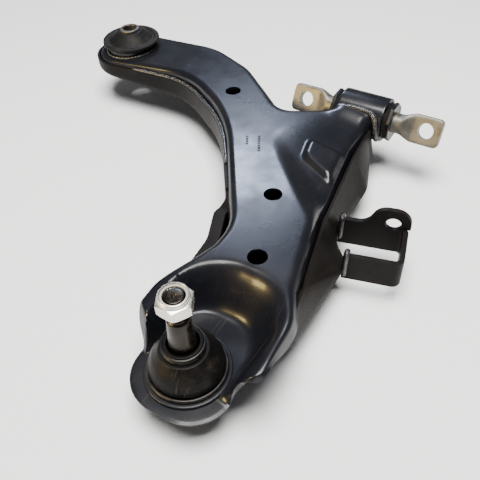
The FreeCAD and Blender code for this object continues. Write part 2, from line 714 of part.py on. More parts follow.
def boot_neck_ring():
    """The ring that holds the boot's neck on the stud."""
    return named(turned("neck_ring", [
        ("boot_top_r + 0.1", "neck_ring_low"), ("neck_ring_r", "neck_ring_low"),
        ("neck_ring_r", "neck_ring_top"), ("boot_top_r + 0.1", "neck_ring_top")], at=BALL),
        "boot_neck_ring")


def stud_nut():
    """Hexagon lock nut with a round collar for its locking ring."""
    hexagon = doc.addObject("Part::Prism", unique("hexagon"))
    hexagon.Polygon = 6
    bind(hexagon, Circumradius="nut_flats / 2 / cos(30deg)", Height="nut_top - nut_low",
         Placement__Base__x="ball_x", Placement__Base__y="ball_y", Placement__Base__z="nut_low")
    hexagon.Placement.Rotation = FreeCAD.Rotation(UP, size("nut_turn"))
    trim = turned("nut_trim", [
        ("0", "nut_low"), ("nut_flats / 2 + 0.4", "nut_low"), ("nut_flats / 2 + 2", "nut_low + 0.9"),
        ("nut_flats / 2 + 2", "nut_top - 1.3"), ("nut_flats / 2 - 0.3", "nut_top"), ("0", "nut_top")],
        at=BALL)
    collar = turned("nut_collar", [
        ("nut_bore_r", "nut_top - 0.1"), ("nut_collar_r", "nut_top - 0.1"),
        ("nut_collar_r", "nut_collar_top - 0.8"), ("nut_collar_r - 0.8", "nut_collar_top"),
        ("nut_bore_r + 0.6", "nut_collar_top"), ("lock_r + 0.01", "nut_collar_top - 0.9"),
        ("lock_r + 0.01", "lock_low"), ("nut_bore_r", "lock_low")], at=BALL)
    nut = cut(common(hexagon, trim), dish_disc("nut_bore_r", "nut_low - 1", "nut_top + 1"))
    return named(fuse(nut, collar), "stud_nut")


def nut_lock_ring():
    """The locking ring held in the nut's collar."""
    return named(turned("lock_ring", [
        ("nut_bore_r", "lock_low + 0.01"), ("lock_r", "lock_low + 0.01"),
        ("lock_r", "nut_collar_top - 1"), ("nut_bore_r", "nut_collar_top - 1")], at=BALL), "nut_lock_ring")


# ---------------------------------------------------------------------------------------
# Build, check and export
# ---------------------------------------------------------------------------------------
def build():
    """Make every sub-part."""
    upper = upper_shell()
    lower_shell()
    seam_weld("seam_weld_outboard", OUTBOARD_RUN)
    seam_weld("seam_weld_inboard", INBOARD_RUN)
    rear_collar()
    rear_collar_weld()
    rear_can()
    rear_rubber()
    rear_sleeve()
    front_tube()
    front_tube_weld(upper)
    front_can()
    front_rubber()
    front_bar()
    for word, side in (("forward", 1), ("rearward", -1)):
        bar_seal("front_seal_" + word, side)
        bar_plate("front_plate_" + word, side)
    strap = link_strap()
    strap_weld("strap_weld_outboard", size("strap_half") + 0.2, strap)
    strap_weld("strap_weld_inboard", -size("strap_half") - 0.2, strap)
    joint_housing()
    joint_cover()
    ball_seat()
    boot_base_ring()
    dust_boot()
    boot_neck_ring()
    ball_stud()
    stud_nut()
    nut_lock_ring()
    doc.recompute()


def check():
    """Stop if any object failed or any sub-part is not one sound shape."""
    failed = [obj.Name for obj in doc.Objects if "Invalid" in obj.State or "Error" in obj.State]
    if failed:
        raise RuntimeError("objects failed: %s" % failed)
    for obj in finished:
        if obj.Shape.isNull() or not obj.Shape.isValid():
            raise RuntimeError("sub-part has no valid shape: %s" % obj.Label)


def export():
    """Write each sub-part to its own file."""
    os.makedirs("parts", exist_ok=True)
    for obj in finished:
        obj.Shape.exportStep("parts/%s.step" % obj.Label)
        print("%-22s %10.1f mm3  %d solid" % (obj.Label, obj.Shape.Volume, len(obj.Shape.Solids)))


build()
check()
export()
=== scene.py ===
import math

import bmesh
import bpy
import numpy as np
from mathutils import Matrix, Vector, noise


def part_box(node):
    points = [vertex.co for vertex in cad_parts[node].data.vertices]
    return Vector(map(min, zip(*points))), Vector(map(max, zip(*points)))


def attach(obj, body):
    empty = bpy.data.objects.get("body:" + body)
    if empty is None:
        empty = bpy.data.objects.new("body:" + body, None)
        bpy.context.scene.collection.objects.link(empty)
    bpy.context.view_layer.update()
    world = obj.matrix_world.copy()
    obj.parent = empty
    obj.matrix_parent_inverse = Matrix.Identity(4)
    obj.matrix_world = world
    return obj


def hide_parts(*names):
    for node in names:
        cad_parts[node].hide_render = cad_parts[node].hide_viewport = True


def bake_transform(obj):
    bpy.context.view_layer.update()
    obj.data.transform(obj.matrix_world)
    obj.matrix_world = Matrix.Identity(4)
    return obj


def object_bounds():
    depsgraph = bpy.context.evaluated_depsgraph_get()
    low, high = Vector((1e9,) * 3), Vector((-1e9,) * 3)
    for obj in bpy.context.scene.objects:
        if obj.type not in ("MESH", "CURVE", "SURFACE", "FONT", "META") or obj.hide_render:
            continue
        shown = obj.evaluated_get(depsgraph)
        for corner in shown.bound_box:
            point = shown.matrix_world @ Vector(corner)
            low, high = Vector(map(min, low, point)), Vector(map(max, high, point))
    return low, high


bl_info = {
    "name": "Control Arm",
    "version": (1, 0, 0),
    "blender": (4, 5, 0),
    "location": "View3D > Sidebar > Control Arm",
    "description": "Builds the finished surfaces of a pressed-steel control arm around its packed frame",
    "category": "Add Mesh",
}

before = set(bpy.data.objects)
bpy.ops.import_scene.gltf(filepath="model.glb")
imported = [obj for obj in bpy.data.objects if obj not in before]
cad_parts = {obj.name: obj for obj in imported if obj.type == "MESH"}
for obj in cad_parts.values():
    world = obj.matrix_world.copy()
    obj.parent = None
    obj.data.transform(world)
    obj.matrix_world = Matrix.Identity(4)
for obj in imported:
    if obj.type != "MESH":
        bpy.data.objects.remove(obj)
CAD_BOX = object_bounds()
MM = 0.001
SHARP = math.radians(40)


def node_box(node):
    """A CAD node's low and high corners in millimetres."""
    low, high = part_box(node)
    return Vector(low) / MM, Vector(high) / MM


def node_centre(node):
    """The middle of a CAD node's box in millimetres."""
    low, high = node_box(node)
    return (low + high) / 2


REAR_AXIS = node_centre("rear_bush_sleeve")
FRONT_AXIS = node_centre("front_bush_tube")
BALL_AXIS = node_centre("ball_joint_housing")
# Heights in mm: the deck, the foot of its rolled edge, the recess's dish, the tray's lip and floor.
DECK_Z = 11.5
FLANGE_Z = -5.0
DISH_Z = -22.5
LIP_Z = -1.0
FLOOR_Z = node_box("lower_shell")[0].z


# ---------------------------------------------------------------------------------------
# Properties
# ---------------------------------------------------------------------------------------
class ArmPressingProps(bpy.types.PropertyGroup):
    """Sizes of the two pressed shells."""

    sheet: bpy.props.FloatProperty(
        name="Sheet", description="Thickness of the pressed sheet in mm", default=2.8, min=1.0)
    roll: bpy.props.FloatProperty(
        name="Edge roll", description="Radius of the deck's rolled edge in mm", default=6.5, min=2.0)
    cell: bpy.props.FloatProperty(
        name="Mesh cell", description="Spacing of the deck's mesh in mm", default=1.8, min=1.0)
    rear_slope: bpy.props.FloatProperty(
        name="Rear slope", description="How far the deck falls towards the rear bush",
        default=math.radians(3.0), subtype="ANGLE")
    web_tilt: bpy.props.FloatProperty(
        name="Web tilt", description="Slope of the front leg's top face",
        default=math.radians(8.0), subtype="ANGLE")
    boss_rise: bpy.props.FloatProperty(
        name="Boss height", description="Height of the raised patch on the front leg in mm", default=4.6)


class ArmCoatProps(bpy.types.PropertyGroup):
    """Colours of the coated steel."""

    coat: bpy.props.FloatVectorProperty(
        name="Coat", description="Colour of the black coat", subtype="COLOR", size=3,
        default=(0.006, 0.0065, 0.009), min=0, max=1)
    dust: bpy.props.FloatVectorProperty(
        name="Dust", description="Colour of the dust on rubber and coat", subtype="COLOR", size=3,
        default=(0.16, 0.12, 0.085), min=0, max=1)
    roughness: bpy.props.FloatProperty(
        name="Coat roughness", description="Base roughness of the coat", default=0.3, min=0, max=1,
        subtype="FACTOR")


class ArmJointProps(bpy.types.PropertyGroup):
    """Sizes of the ball joint's visible parts."""

    thread_pitch: bpy.props.FloatProperty(
        name="Thread pitch", description="Pitch of the stud's thread in mm", default=1.5, min=0.5)
    boot_wall: bpy.props.FloatProperty(
        name="Boot wall", description="Thickness of the rubber boot in mm", default=2.3, min=1.0)


class ArmStageProps(bpy.types.PropertyGroup):
    """The camera and the studio."""

    camera_place: bpy.props.FloatVectorProperty(
        name="Camera", description="Where the camera stands", subtype="TRANSLATION", size=3,
        default=(0.4508, 0.43217, 0.30604))
    camera_aim: bpy.props.FloatVectorProperty(
        name="Aim", description="The point that the camera looks at", subtype="TRANSLATION", size=3,
        default=(0.19854, 0.26202, 0.0))
    camera_roll: bpy.props.FloatProperty(
        name="Roll", description="Turn of the camera about its own line of sight", subtype="ANGLE",
        default=math.radians(-3.667))
    lens: bpy.props.FloatProperty(
        name="Lens", description="Focal length on a 36 mm sensor", default=43.22, min=10)
    floor_colour: bpy.props.FloatVectorProperty(
        name="Floor", description="Colour of the floor", subtype="COLOR", size=3,
        default=(0.93, 0.93, 0.93), min=0, max=1)


# ---------------------------------------------------------------------------------------
# Outlines
# ---------------------------------------------------------------------------------------
# Corners are (x, y, radius) in mm, counter-clockwise.
UPPER_PLAN = [
    (-37, -40, 35), (37, -40, 35), (26, 92, 90), (72, 168, 200), (196, 250.5, 50),
    (219, 250.5, 14), (268, 235, 25), (289, 235, 9), (299, 246, 5), (335.5, 245.5, 30),
    (335.5, 319.5, 30), (299.5, 320, 5),
    (299, 337, 10), (250, 337, 30), (226, 325, 30), (145, 304, 60), (60, 291, 40),
    (14, 291, 9), (14, 262, 9), (41, 212, 18), (-12, 147, 60), (-38, 90, 80),
]
LOWER_PLAN = [
    (-40, -43, 38), (40, -43, 38), (29, 91, 90), (75, 165, 150), (159, 223, 6),
    (172, 220, 10), (200, 232, 30), (262, 238, 50), (299, 247, 60), (332, 249, 27),
    (332, 315, 31), (285, 319.5, 30), (243, 333, 25), (160, 334, 22), (140, 314, 22),
    (70, 313, 40), (30, 299, 10), (18, 299, 6), (18, 259, 6), (36, 210, 21),
    (-14, 149, 60), (-41, 90, 80),
]
# The tray's lip, corner by corner: its wall leans in to the upper shell's edge.
LIP_PLAN = [
    (-40, -43, 38), (40, -43, 38), (29, 91, 90), (75, 165, 150), (159, 224, 6),
    (173, 221, 10), (202, 233.5, 30), (262, 239, 50), (299, 247, 60), (332, 249, 27),
    (332, 315, 31), (285, 318, 30), (246, 331, 25), (217, 325, 22), (145, 308, 22),
    (62, 295.5, 40), (31, 294, 8), (18, 294, 6), (18, 259, 6), (36, 210, 21),
    (-14, 149, 60), (-41, 90, 80),
]
# Radii in mm; a hole is (x, y, radius).
COLLAR_R = 26.5
HOUSE_R = 24.0
DRAIN_HOLE = (100, 230, 12.0)
TUBE_R = 20.0
TUBE_HALF = 22.0
PLATE_R = 18.0
EYE_PITCH = 118.4
# The strap in its own frame: legs along y at x = -half and half, roots by leg, lug (y, z, radius).
STRAP_HALF = 21.0
STRAP_SHEET = 4.0
STRAP_REACH = 45.4
STRAP_TOP = -10.0
STRAP_LOW = -36.0
STRAP_ROOTS = {-1: -6.9, 1: 2.8}
STRAP_PLACE = Matrix.Translation((146.0, 326.0, 0.0)) @ Matrix.Rotation(math.radians(14.5), 4, "Z")
LUG = (33.0, -7.0, 13.5)
LUG_HOLE_R = 6.1
# Where the boot's two stretches meet: (radius, height).
BOOT_SPLIT = (22.62, -5.24)
NUT_LOW, NUT_COLLAR_TOP = (corner.z for corner in node_box("stud_nut"))
NUT_TOP = NUT_COLLAR_TOP - 3.2
STUD_TOP = node_box("ball_stud")[1].z
TAPER_TOP = 33.0
NUT_FLATS = 21.0
NUT_BORE_R = 7.0
NUT_COLLAR_R = 9.6
# Plan points of the marks and of the three deck holes.
MARK_PLACE = (91.0, 216.5)
MARK_SIDE = (96.0, 207.5)
DIMPLE = (9.8, 83.8)
DECK_HOLES = [(36.6, 155.9), (152.7, 264.8), (216.2, 287.7)]
DECK_HOLE_R = 7.45


def unit(start, end):
    """Direction from one plan point to another."""
    dx = end[0] - start[0]
    dy = end[1] - start[1]
    length = math.hypot(dx, dy)
    return dx / length, dy / length


def grow(corners, distance):
    """The same outline moved outwards by a distance."""
    moved = []
    for index, corner in enumerate(corners):
        before = unit(corners[index - 1], corner)
        after = unit(corner, corners[(index + 1) % len(corners)])
        scale = distance / (1 + before[0] * after[0] + before[1] * after[1])
        convex = before[0] * after[1] - before[1] * after[0] > 0
        radius = max(corner[2] + (distance if convex else -distance), 0.2)
        moved.append((corner[0] + (before[1] + after[1]) * scale,
                      corner[1] - (before[0] + after[0]) * scale, radius))
    return moved


def arc_parts(before, corner, after):
    """Centre, start angle and turn of the arc that rounds one corner."""
    back = unit(corner, before)
    ahead = unit(corner, after)
    half = math.acos(max(-1.0, min(1.0, back[0] * ahead[0] + back[1] * ahead[1]))) / 2
    middle = unit((0, 0), (back[0] + ahead[0], back[1] + ahead[1]))
    reach = corner[2] / math.sin(half)
    centre = (corner[0] + middle[0] * reach, corner[1] + middle[1] * reach)
    along = corner[2] / math.tan(half)
    start = (corner[0] + back[0] * along, corner[1] + back[1] * along)
    angle = math.atan2(start[1] - centre[1], start[0] - centre[0])
    turn = math.pi - 2 * half
    left = -back[0] * ahead[1] + back[1] * ahead[0] > 0
    return centre, angle, turn if left else -turn


def loop_counts(corners, spacing):
    """How many points each arc and each straight run of an outline gets."""
    counts = []
    parts = [arc_parts(corners[i - 1], c, corners[(i + 1) % len(corners)]) for i, c in enumerate(corners)]
    for index, (centre, angle, turn) in enumerate(parts):
        radius = corners[index][2]
        after = (index + 1) % len(corners)
        end = (centre[0] + radius * math.cos(angle + turn), centre[1] + radius * math.sin(angle + turn))
        nxt = parts[after]
        start = (nxt[0][0] + corners[after][2] * math.cos(nxt[1]),
                 nxt[0][1] + corners[after][2] * math.sin(nxt[1]))
        run = math.dist(end, start)
        counts.append((max(3, round(abs(turn) * radius / spacing)), max(1, round(run / spacing))))
    return counts


def loop_points(corners, counts):
    """Points round an outline, with the given number on each arc and run."""
    points = []
    parts = [arc_parts(corners[i - 1], c, corners[(i + 1) % len(corners)]) for i, c in enumerate(corners)]
    ends = []
    for (centre, angle, turn), corner in zip(parts, corners):
        ends.append([(centre[0] + corner[2] * math.cos(a), centre[1] + corner[2] * math.sin(a))
                     for a in (angle, angle + turn)])
    for index, (centre, angle, turn) in enumerate(parts):
        arcs, runs = counts[index]
        for step in range(arcs):
            a = angle + turn * step / arcs
            points.append((centre[0] + corners[index][2] * math.cos(a),
                           centre[1] + corners[index][2] * math.sin(a)))
        start = ends[index][1]
        end = ends[(index + 1) % len(corners)][0]
        for step in range(runs):
            part = step / runs
            points.append((start[0] + (end[0] - start[0]) * part, start[1] + (end[1] - start[1]) * part))
    return points


def soft_low(a, b, blend):
    """The lower of two heights, with a round transition."""
    mix = max(blend - abs(a - b), 0.0) / blend
    return min(a, b) - mix * mix * blend / 4


def soft_high(a, b, blend):
    """The higher of two heights, with a round transition."""
    return -soft_low(-a, -b, blend)


def smooth_step(value, low, high):
    """0 below low, 1 above high, smooth between."""
    part = min(max((value - low) / (high - low), 0.0), 1.0)
    return part * part * (3 - 2 * part)


def block_distance(x, y, low, high, radius):
    """Signed distance to a rounded rectangle, negative inside."""
    dx = abs(x - (low[0] + high[0]) / 2) - (high[0] - low[0]) / 2 + radius
    dy = abs(y - (low[1] + high[1]) / 2) - (high[1] - low[1]) / 2 + radius
    return math.hypot(max(dx, 0), max(dy, 0)) + min(max(dx, dy), 0) - radius


# ---------------------------------------------------------------------------------------
# The upper shell's surface
# ---------------------------------------------------------------------------------------
# The front leg's top face, in a frame of its own at the corner where it leaves the deck.
WEB_CORNER = (85.0, 237.0)
WEB_TURN = math.radians(-19.6)
VALLEY_START = (8.0, 14.0)
VALLEY_RUN = (17.0, 64.0)
BOSS = [(-18, 15), (2, 27), (4, 62), (-27, 46)]
RECESS_RISE_BLEND = 9.0
# Rounded blocks: (low corner, high corner, radius).
RECESS_FOOT = ((250, 251), (420, 314), 27)
RECESS_MOUTH = ((231, 247), (420, 331), 38)


def web_frame(x, y):
    """Plan point in the front leg's own frame: along its hinge and down its slope."""
    dx = x - WEB_CORNER[0]
    dy = y - WEB_CORNER[1]
    c = math.cos(WEB_TURN)
    s = math.sin(WEB_TURN)
    return dx * c + dy * s, -dx * s + dy * c


def boss_depth(u, v):
    """How far a point lies inside the raised patch."""
    depth = 1e9
    for index, start in enumerate(BOSS):
        end = BOSS[(index + 1) % len(BOSS)]
        way = unit(start, end)
        side = (v - start[1]) * way[0] - (u - start[0]) * way[1]
        depth = soft_low(depth, side, 5.0) if index else side
    return depth


def web_depth(u, v, tilt):
    """How far the front leg's top lies below the deck, with its flank along the limb."""
    drop = math.tan(tilt) * soft_high(v, 0, 16)
    way = unit((0, 0), VALLEY_RUN)
    across = (u - VALLEY_START[0]) * way[1] - (v - VALLEY_START[1]) * way[0]
    share = 1 - smooth_step(across, -5, 9 + 0.2 * max(v, 0))
    return drop * share


def recess_height(x, y):
    """Height of the recess's wall at a plan point, level with the dish at its foot."""
    foot = block_distance(x, y, *RECESS_FOOT)
    mouth = block_distance(x, y, *RECESS_MOUTH)
    rise = foot / max(foot - mouth, 0.5)
    return soft_high(DISH_Z + rise * (DECK_Z - DISH_Z), DISH_Z, RECESS_RISE_BLEND)


def wing_end(x, y):
    """Height of the end faces of the two wings beside the ball joint."""
    edge = 291 + (y - 232) * 0.7 if y < BALL_AXIS.y else 307 - max(y - 331, 0)
    steepness = 3.2
    return DISH_Z + max(edge - x, -3) * steepness


def deck_height(x, y, props):
    """Height of the upper shell's top surface at a plan point."""
    rear_start, wing_start, wing_slope, saddle_rise = 138, 243, 0.13, 5.0
    top = DECK_Z - math.tan(props.rear_slope) * soft_high(rear_start - y, 0, 40)
    top -= wing_slope * soft_high(x - wing_start, 0, 24)
    u, v = web_frame(x, y)
    top -= web_depth(u, v, props.web_tilt)
    top += props.boss_rise * smooth_step(boss_depth(u, v), -2.4, 3.4)
    top += saddle_rise * smooth_step(y, 244, 266) * smooth_step(-x, -36, -15)
    top = soft_low(top, recess_height(x, y), 11.0)
    return soft_high(soft_low(top, wing_end(x, y), 7.0), DISH_Z, 5.0)


def inside_by(spots, ring, margin):
    """Whether each spot lies inside a closed ring by more than a margin."""
    inside = np.zeros(len(spots), bool)
    nearest = np.full(len(spots), 1e9)
    for a, b in zip(ring, np.roll(ring, -1, axis=0)):
        run = b - a
        if run[1]:
            crosses = (a[1] > spots[:, 1]) != (b[1] > spots[:, 1])
            inside ^= crosses & (spots[:, 0] < a[0] + (spots[:, 1] - a[1]) * run[0] / run[1])
        part = np.clip(((spots - a) @ run) / (run @ run), 0, 1)
        gap = spots - a - part[:, None] * run
        nearest = np.minimum(nearest, np.hypot(gap[:, 0], gap[:, 1]))
    return inside & (nearest > margin)


def inner_grid(bm, ring, holes, cell):
    """A flat grid that fills an outline and stops short of its edge and holes."""
    spots = np.array(ring)
    low = spots.min(axis=0)
    width, depth = spots.max(axis=0) - low
    made = bmesh.ops.create_grid(bm, x_segments=round(width / cell), y_segments=round(depth / cell), size=0.5)
    bmesh.ops.scale(bm, vec=(width, depth, 1), verts=made["verts"])
    bmesh.ops.translate(bm, vec=(low[0] + width / 2, low[1] + depth / 2, 0), verts=made["verts"])
    verts = list(bm.verts)
    places = np.array([(v.co.x, v.co.y) for v in verts])
    keep = inside_by(places, spots, cell * 0.75)
    for x, y, radius in holes:
        keep &= np.hypot(places[:, 0] - x, places[:, 1] - y) > radius + cell * 0.75
    dropped = [v for v, kept in zip(verts, keep) if not kept]
    while dropped:
        bmesh.ops.delete(bm, geom=dropped, context="VERTS")
        dropped = [v for v in bm.verts if not v.link_faces or sum(e.is_boundary for e in v.link_edges) > 2]


def flat_sheet(ring, holes, cell):
    """A flat meshed sheet with round holes, and its outer vertices in order."""
    bm = bmesh.new()
    inner_grid(bm, ring, holes, cell)
    open_edges = [e for e in bm.edges if e.is_boundary]
    for x, y, radius in holes:
        steps = max(20, round(2 * math.pi * radius / cell))
        made = bmesh.ops.create_circle(bm, cap_ends=False, radius=radius, segments=steps,
                                       matrix=Matrix.Translation((x, y, 0)))
        open_edges += {e for v in made["verts"] for e in v.link_edges}
    verts = [bm.verts.new((p[0], p[1], 0)) for p in ring]
    open_edges += [bm.edges.new((verts[i - 1], verts[i])) for i in range(len(verts))]
    bmesh.ops.triangle_fill(bm, use_beauty=True, edges=open_edges)
    return bm, verts


def push_rim(bm, verts, places):
    """Extrude a closed edge outwards to new places, and return its new vertices in order."""
    edges = [bm.edges.get((verts[i - 1], verts[i])) for i in range(len(verts))]
    made = bmesh.ops.extrude_edge_only(bm, edges=edges)["geom"]
    new = {v for v in made if isinstance(v, bmesh.types.BMVert)}
    fresh = [next(e.other_vert(v) for e in v.link_edges if e.other_vert(v) in new) for v in verts]
    for vert, place in zip(fresh, places):
        vert.co = place
    return fresh


def face_way(bm, up):
    """Turn an open sheet's faces to one side: up or down."""
    bmesh.ops.recalc_face_normals(bm, faces=bm.faces)
    if (sum(f.normal.z * f.calc_area() for f in bm.faces) > 0) != up:
        bmesh.ops.reverse_faces(bm, faces=bm.faces)


# ---------------------------------------------------------------------------------------
# Mesh helpers
# ---------------------------------------------------------------------------------------
def spun(profile, centre, lying=False, steps=96):
    """Spin a closed profile of (radius, station) points round an upright or lying axis."""
    bm = bmesh.new()
    way = Vector((0, 1, 0)) if lying else Vector((0, 0, 1))
    verts = [bm.verts.new(Vector(centre) + Vector((radius, 0, 0)) + way * station)
             for radius, station in profile]
    edges = [bm.edges.new((verts[i - 1], verts[i])) for i in range(len(verts))]
    bmesh.ops.spin(bm, geom=verts + edges, cent=centre, axis=way, angle=2 * math.pi, steps=steps,
                   use_merge=True, use_duplicate=False)
    bmesh.ops.remove_doubles(bm, verts=bm.verts, dist=0.001)
    bmesh.ops.recalc_face_normals(bm, faces=bm.faces)
    return bm


def rounded(corners, spacing=0.7):
    """Closed profile points from (radius, station, fillet) corners."""
    turned = zip(corners, corners[1:] + corners[:1])
    area = sum(a[0] * b[1] - b[0] * a[1] for a, b in turned)
    ordered = corners if area > 0 else corners[::-1]
    return loop_points(ordered, loop_counts(ordered, spacing))


def make_piece(name, bm, body, material, replaced=()):
    """Turn a mesh in millimetres into a finished piece; with no body, it is left without a parent."""
    bmesh.ops.scale(bm, vec=(MM, MM, MM), verts=bm.verts)
    mesh = bpy.data.meshes.new(name)
    bm.to_mesh(mesh)
    bm.free()
    mesh.shade_smooth()
    mesh.set_sharp_from_angle(angle=SHARP)
    mesh.materials.append(material)
    piece = bpy.data.objects.new(name, mesh)
    bpy.context.scene.collection.objects.link(piece)
    if body:
        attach(piece, body)
    if replaced:
        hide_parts(*replaced)
    return piece


def add_wall(piece, thickness, edge=0.45):
    """Give a one-sided sheet its thickness on the inner side, and soften its cut edges."""
    wall = piece.modifiers.new("Wall", "SOLIDIFY")
    wall.thickness = thickness * MM
    wall.offset = -1
    soften(piece, edge)


def soften(piece, width):
    """Round a piece's sharp edges."""
    bevel = piece.modifiers.new("Edges", "BEVEL")
    bevel.width = width * MM
    bevel.segments = 2
    bevel.limit_method = "ANGLE"
    bevel.angle_limit = math.radians(55)
    bevel.harden_normals = True


def bead_mesh(name, places, radius, swell=0.16, ripple=1.7):
    """A weld bead along a line of points, with the ripples of its pools."""
    curve = bpy.data.curves.new(name, "CURVE")
    curve.dimensions = "3D"
    curve.bevel_depth = radius
    curve.bevel_resolution = 4
    curve.use_fill_caps = True
    spline = curve.splines.new("POLY")
    spline.points.add(len(places) - 1)
    run = 0.0
    for index, place in enumerate(places):
        run += (place - places[index - 1]).length if index else 0
        end = min(index, len(places) - 1 - index, 4) / 4
        spline.points[index].co = (*place, 1)
        wave = abs(math.sin(run * math.pi / ripple)) + 0.5 * noise.noise(place * 0.35)
        spline.points[index].radius = (0.55 + 0.45 * end) * (1 - swell + swell * wave)
    holder = bpy.data.objects.new(name, curve)
    mesh = bpy.data.meshes.new_from_object(holder)
    bpy.data.objects.remove(holder)
    bm = bmesh.new()
    bm.from_mesh(mesh)
    bpy.data.meshes.remove(mesh)
    bmesh.ops.remove_doubles(bm, verts=bm.verts, dist=0.0005)
    bmesh.ops.recalc_face_normals(bm, faces=bm.faces)
    return bm


def merge_in(bm, other):
    """Add one mesh's geometry to another."""
    mesh = bpy.data.meshes.new("joined")
    other.to_mesh(mesh)
    other.free()
    bm.from_mesh(mesh)
    bpy.data.meshes.remove(mesh)
    return bm


# ---------------------------------------------------------------------------------------
# Shader helpers
# ---------------------------------------------------------------------------------------
class Nodes:
    """Adds nodes and links to one node tree with short calls."""

    def __init__(self, tree):
        self.tree = tree

    def add(self, kind, inputs=None, **settings):
        node = self.tree.nodes.new(kind)
        for key, value in settings.items():
            setattr(node, key, value)
        for key, value in (inputs or {}).items():
            if isinstance(value, bpy.types.NodeSocket):
                self.tree.links.new(value, node.inputs[key])
            else:
                node.inputs[key].default_value = value
        return node

    def noise(self, vector, scale, detail=3.0, roughness=0.55):
        inputs = {"Vector": vector, "Scale": scale, "Detail": detail, "Roughness": roughness}
        return self.add("ShaderNodeTexNoise", inputs).outputs["Fac"]

    def ramp(self, value, low, high, to_low=0.0, to_high=1.0):
        inputs = {"Value": value, "From Min": low, "From Max": high, "To Min": to_low, "To Max": to_high}
        return self.add("ShaderNodeMapRange", inputs, interpolation_type="SMOOTHSTEP").outputs["Result"]

    def math(self, operation, first, second):
        return self.add("ShaderNodeMath", {0: first, 1: second}, operation=operation).outputs["Value"]

    def stretch(self, vector, scale, turn=(0.0, 0.0, 0.0)):
        inputs = {"Vector": vector, "Scale": scale, "Rotation": turn}
        return self.add("ShaderNodeMapping", inputs).outputs["Vector"]

    def mix(self, factor, first, second, blend="MIX"):
        node = self.add("ShaderNodeMix", data_type="RGBA", blend_type=blend)
        for socket, value in ((node.inputs[0], factor), (node.inputs[6], first), (node.inputs[7], second)):
            if isinstance(value, bpy.types.NodeSocket):
                self.tree.links.new(value, socket)
            elif socket.type == "RGBA":
                socket.default_value = (*value[:3], 1.0)
            else:
                socket.default_value = value
        return node.outputs[2]


def new_group(name, inputs, outputs):
    """An empty shader group with named sockets; each is (name, kind, default)."""
    tree = bpy.data.node_groups.new(name, "ShaderNodeTree")
    for word, kind, default in inputs:
        socket = tree.interface.new_socket(word, in_out="INPUT", socket_type=kind)
        if default is not None:
            socket.default_value = default
    for word, kind in outputs:
        tree.interface.new_socket(word, in_out="OUTPUT", socket_type=kind)
    nodes = Nodes(tree)
    return nodes, nodes.add("NodeGroupInput"), nodes.add("NodeGroupOutput")


FLOAT = "NodeSocketFloat"
COLOUR = "NodeSocketColor"


def dust_group():
    """Dust lying in soft patches, broken into fine flecks."""
    nodes, given, out = new_group(
        "Dust patches",
        [("Amount", FLOAT, 0.5), ("Size", FLOAT, 40.0), ("Base", COLOUR, (0.02, 0.02, 0.02, 1)),
         ("Dust", COLOUR, (0.2, 0.15, 0.1, 1))],
        [("Color", COLOUR), ("Mask", FLOAT)])
    place = nodes.add("ShaderNodeTexCoord").outputs["Object"]
    broad = nodes.noise(place, given.outputs["Size"], 4.0, 0.6)
    speck = nodes.noise(place, 900.0, 2.0, 0.6)
    patch = nodes.ramp(broad, 0.42, 0.72)
    fleck = nodes.ramp(speck, 0.4, 0.75, 0.3, 1.0)
    mask = nodes.math("MULTIPLY", nodes.math("MULTIPLY", patch, fleck), given.outputs["Amount"])
    nodes.tree.links.new(nodes.mix(mask, given.outputs["Base"], given.outputs["Dust"]), out.inputs["Color"])
    nodes.tree.links.new(mask, out.inputs["Mask"])
    return nodes.tree


def scratch_group():
    """Fine handling scratches in two crossing directions."""
    nodes, given, out = new_group(
        "Fine scratches", [("Density", FLOAT, 0.5)], [("Mask", FLOAT)])
    place = nodes.add("ShaderNodeTexCoord").outputs["Object"]
    masks = []
    ways = ((0.5, (18.0, 900.0, 60.0)), (-0.7, (26.0, 1300.0, 60.0)), (1.4, (30.0, 1100.0, 50.0)))
    for turn, scale in ways:
        line = nodes.noise(nodes.stretch(place, scale, (0.0, 0.0, turn)), 1.0, 2.0, 0.5)
        masks.append(nodes.ramp(line, 0.69, 0.74))
    spread = nodes.ramp(nodes.noise(place, 22.0, 3.0), 0.5, 0.66)
    total = nodes.math("MAXIMUM", nodes.math("MAXIMUM", masks[0], masks[1]), masks[2])
    total = nodes.math("MULTIPLY", nodes.math("MULTIPLY", total, spread), given.outputs["Density"])
    nodes.tree.links.new(total, out.inputs["Mask"])
    return nodes.tree


def grain_group():
    """Uneven surface grain: a broad swell and a fine texture, as a height and a value."""
    nodes, given, out = new_group(
        "Surface grain",
        [("Broad", FLOAT, 60.0), ("Fine", FLOAT, 900.0), ("Fine share", FLOAT, 0.3)],
        [("Height", FLOAT), ("Value", FLOAT)])
    place = nodes.add("ShaderNodeTexCoord").outputs["Object"]
    broad = nodes.noise(place, given.outputs["Broad"], 2.0)
    fine = nodes.noise(place, given.outputs["Fine"], 2.0)
    height = nodes.math("ADD", broad, nodes.math("MULTIPLY", fine, given.outputs["Fine share"]))
    nodes.tree.links.new(height, out.inputs["Height"])
    nodes.tree.links.new(fine, out.inputs["Value"])
    return nodes.tree


def group(maker):
    """A shared group, made the first time it is asked for."""
    name = {"dust_group": "Dust patches", "scratch_group": "Fine scratches",
            "grain_group": "Surface grain"}[maker.__name__]
    return bpy.data.node_groups.get(name) or maker()


def use_group(nodes, maker, inputs=None):
    """Place a shared group in a material."""
    return nodes.add("ShaderNodeGroup", inputs, node_tree=group(maker))


def start_material(name, **sockets):
    """A material with its shader; sockets are set by their names with underscores."""
    material = bpy.data.materials.new(name)
    material.use_nodes = True
    nodes = Nodes(material.node_tree)
    shader = material.node_tree.nodes["Principled BSDF"]
    for key, value in sockets.items():
        shader.inputs[key.replace("_", " ")].default_value = value
    return material, nodes, shader


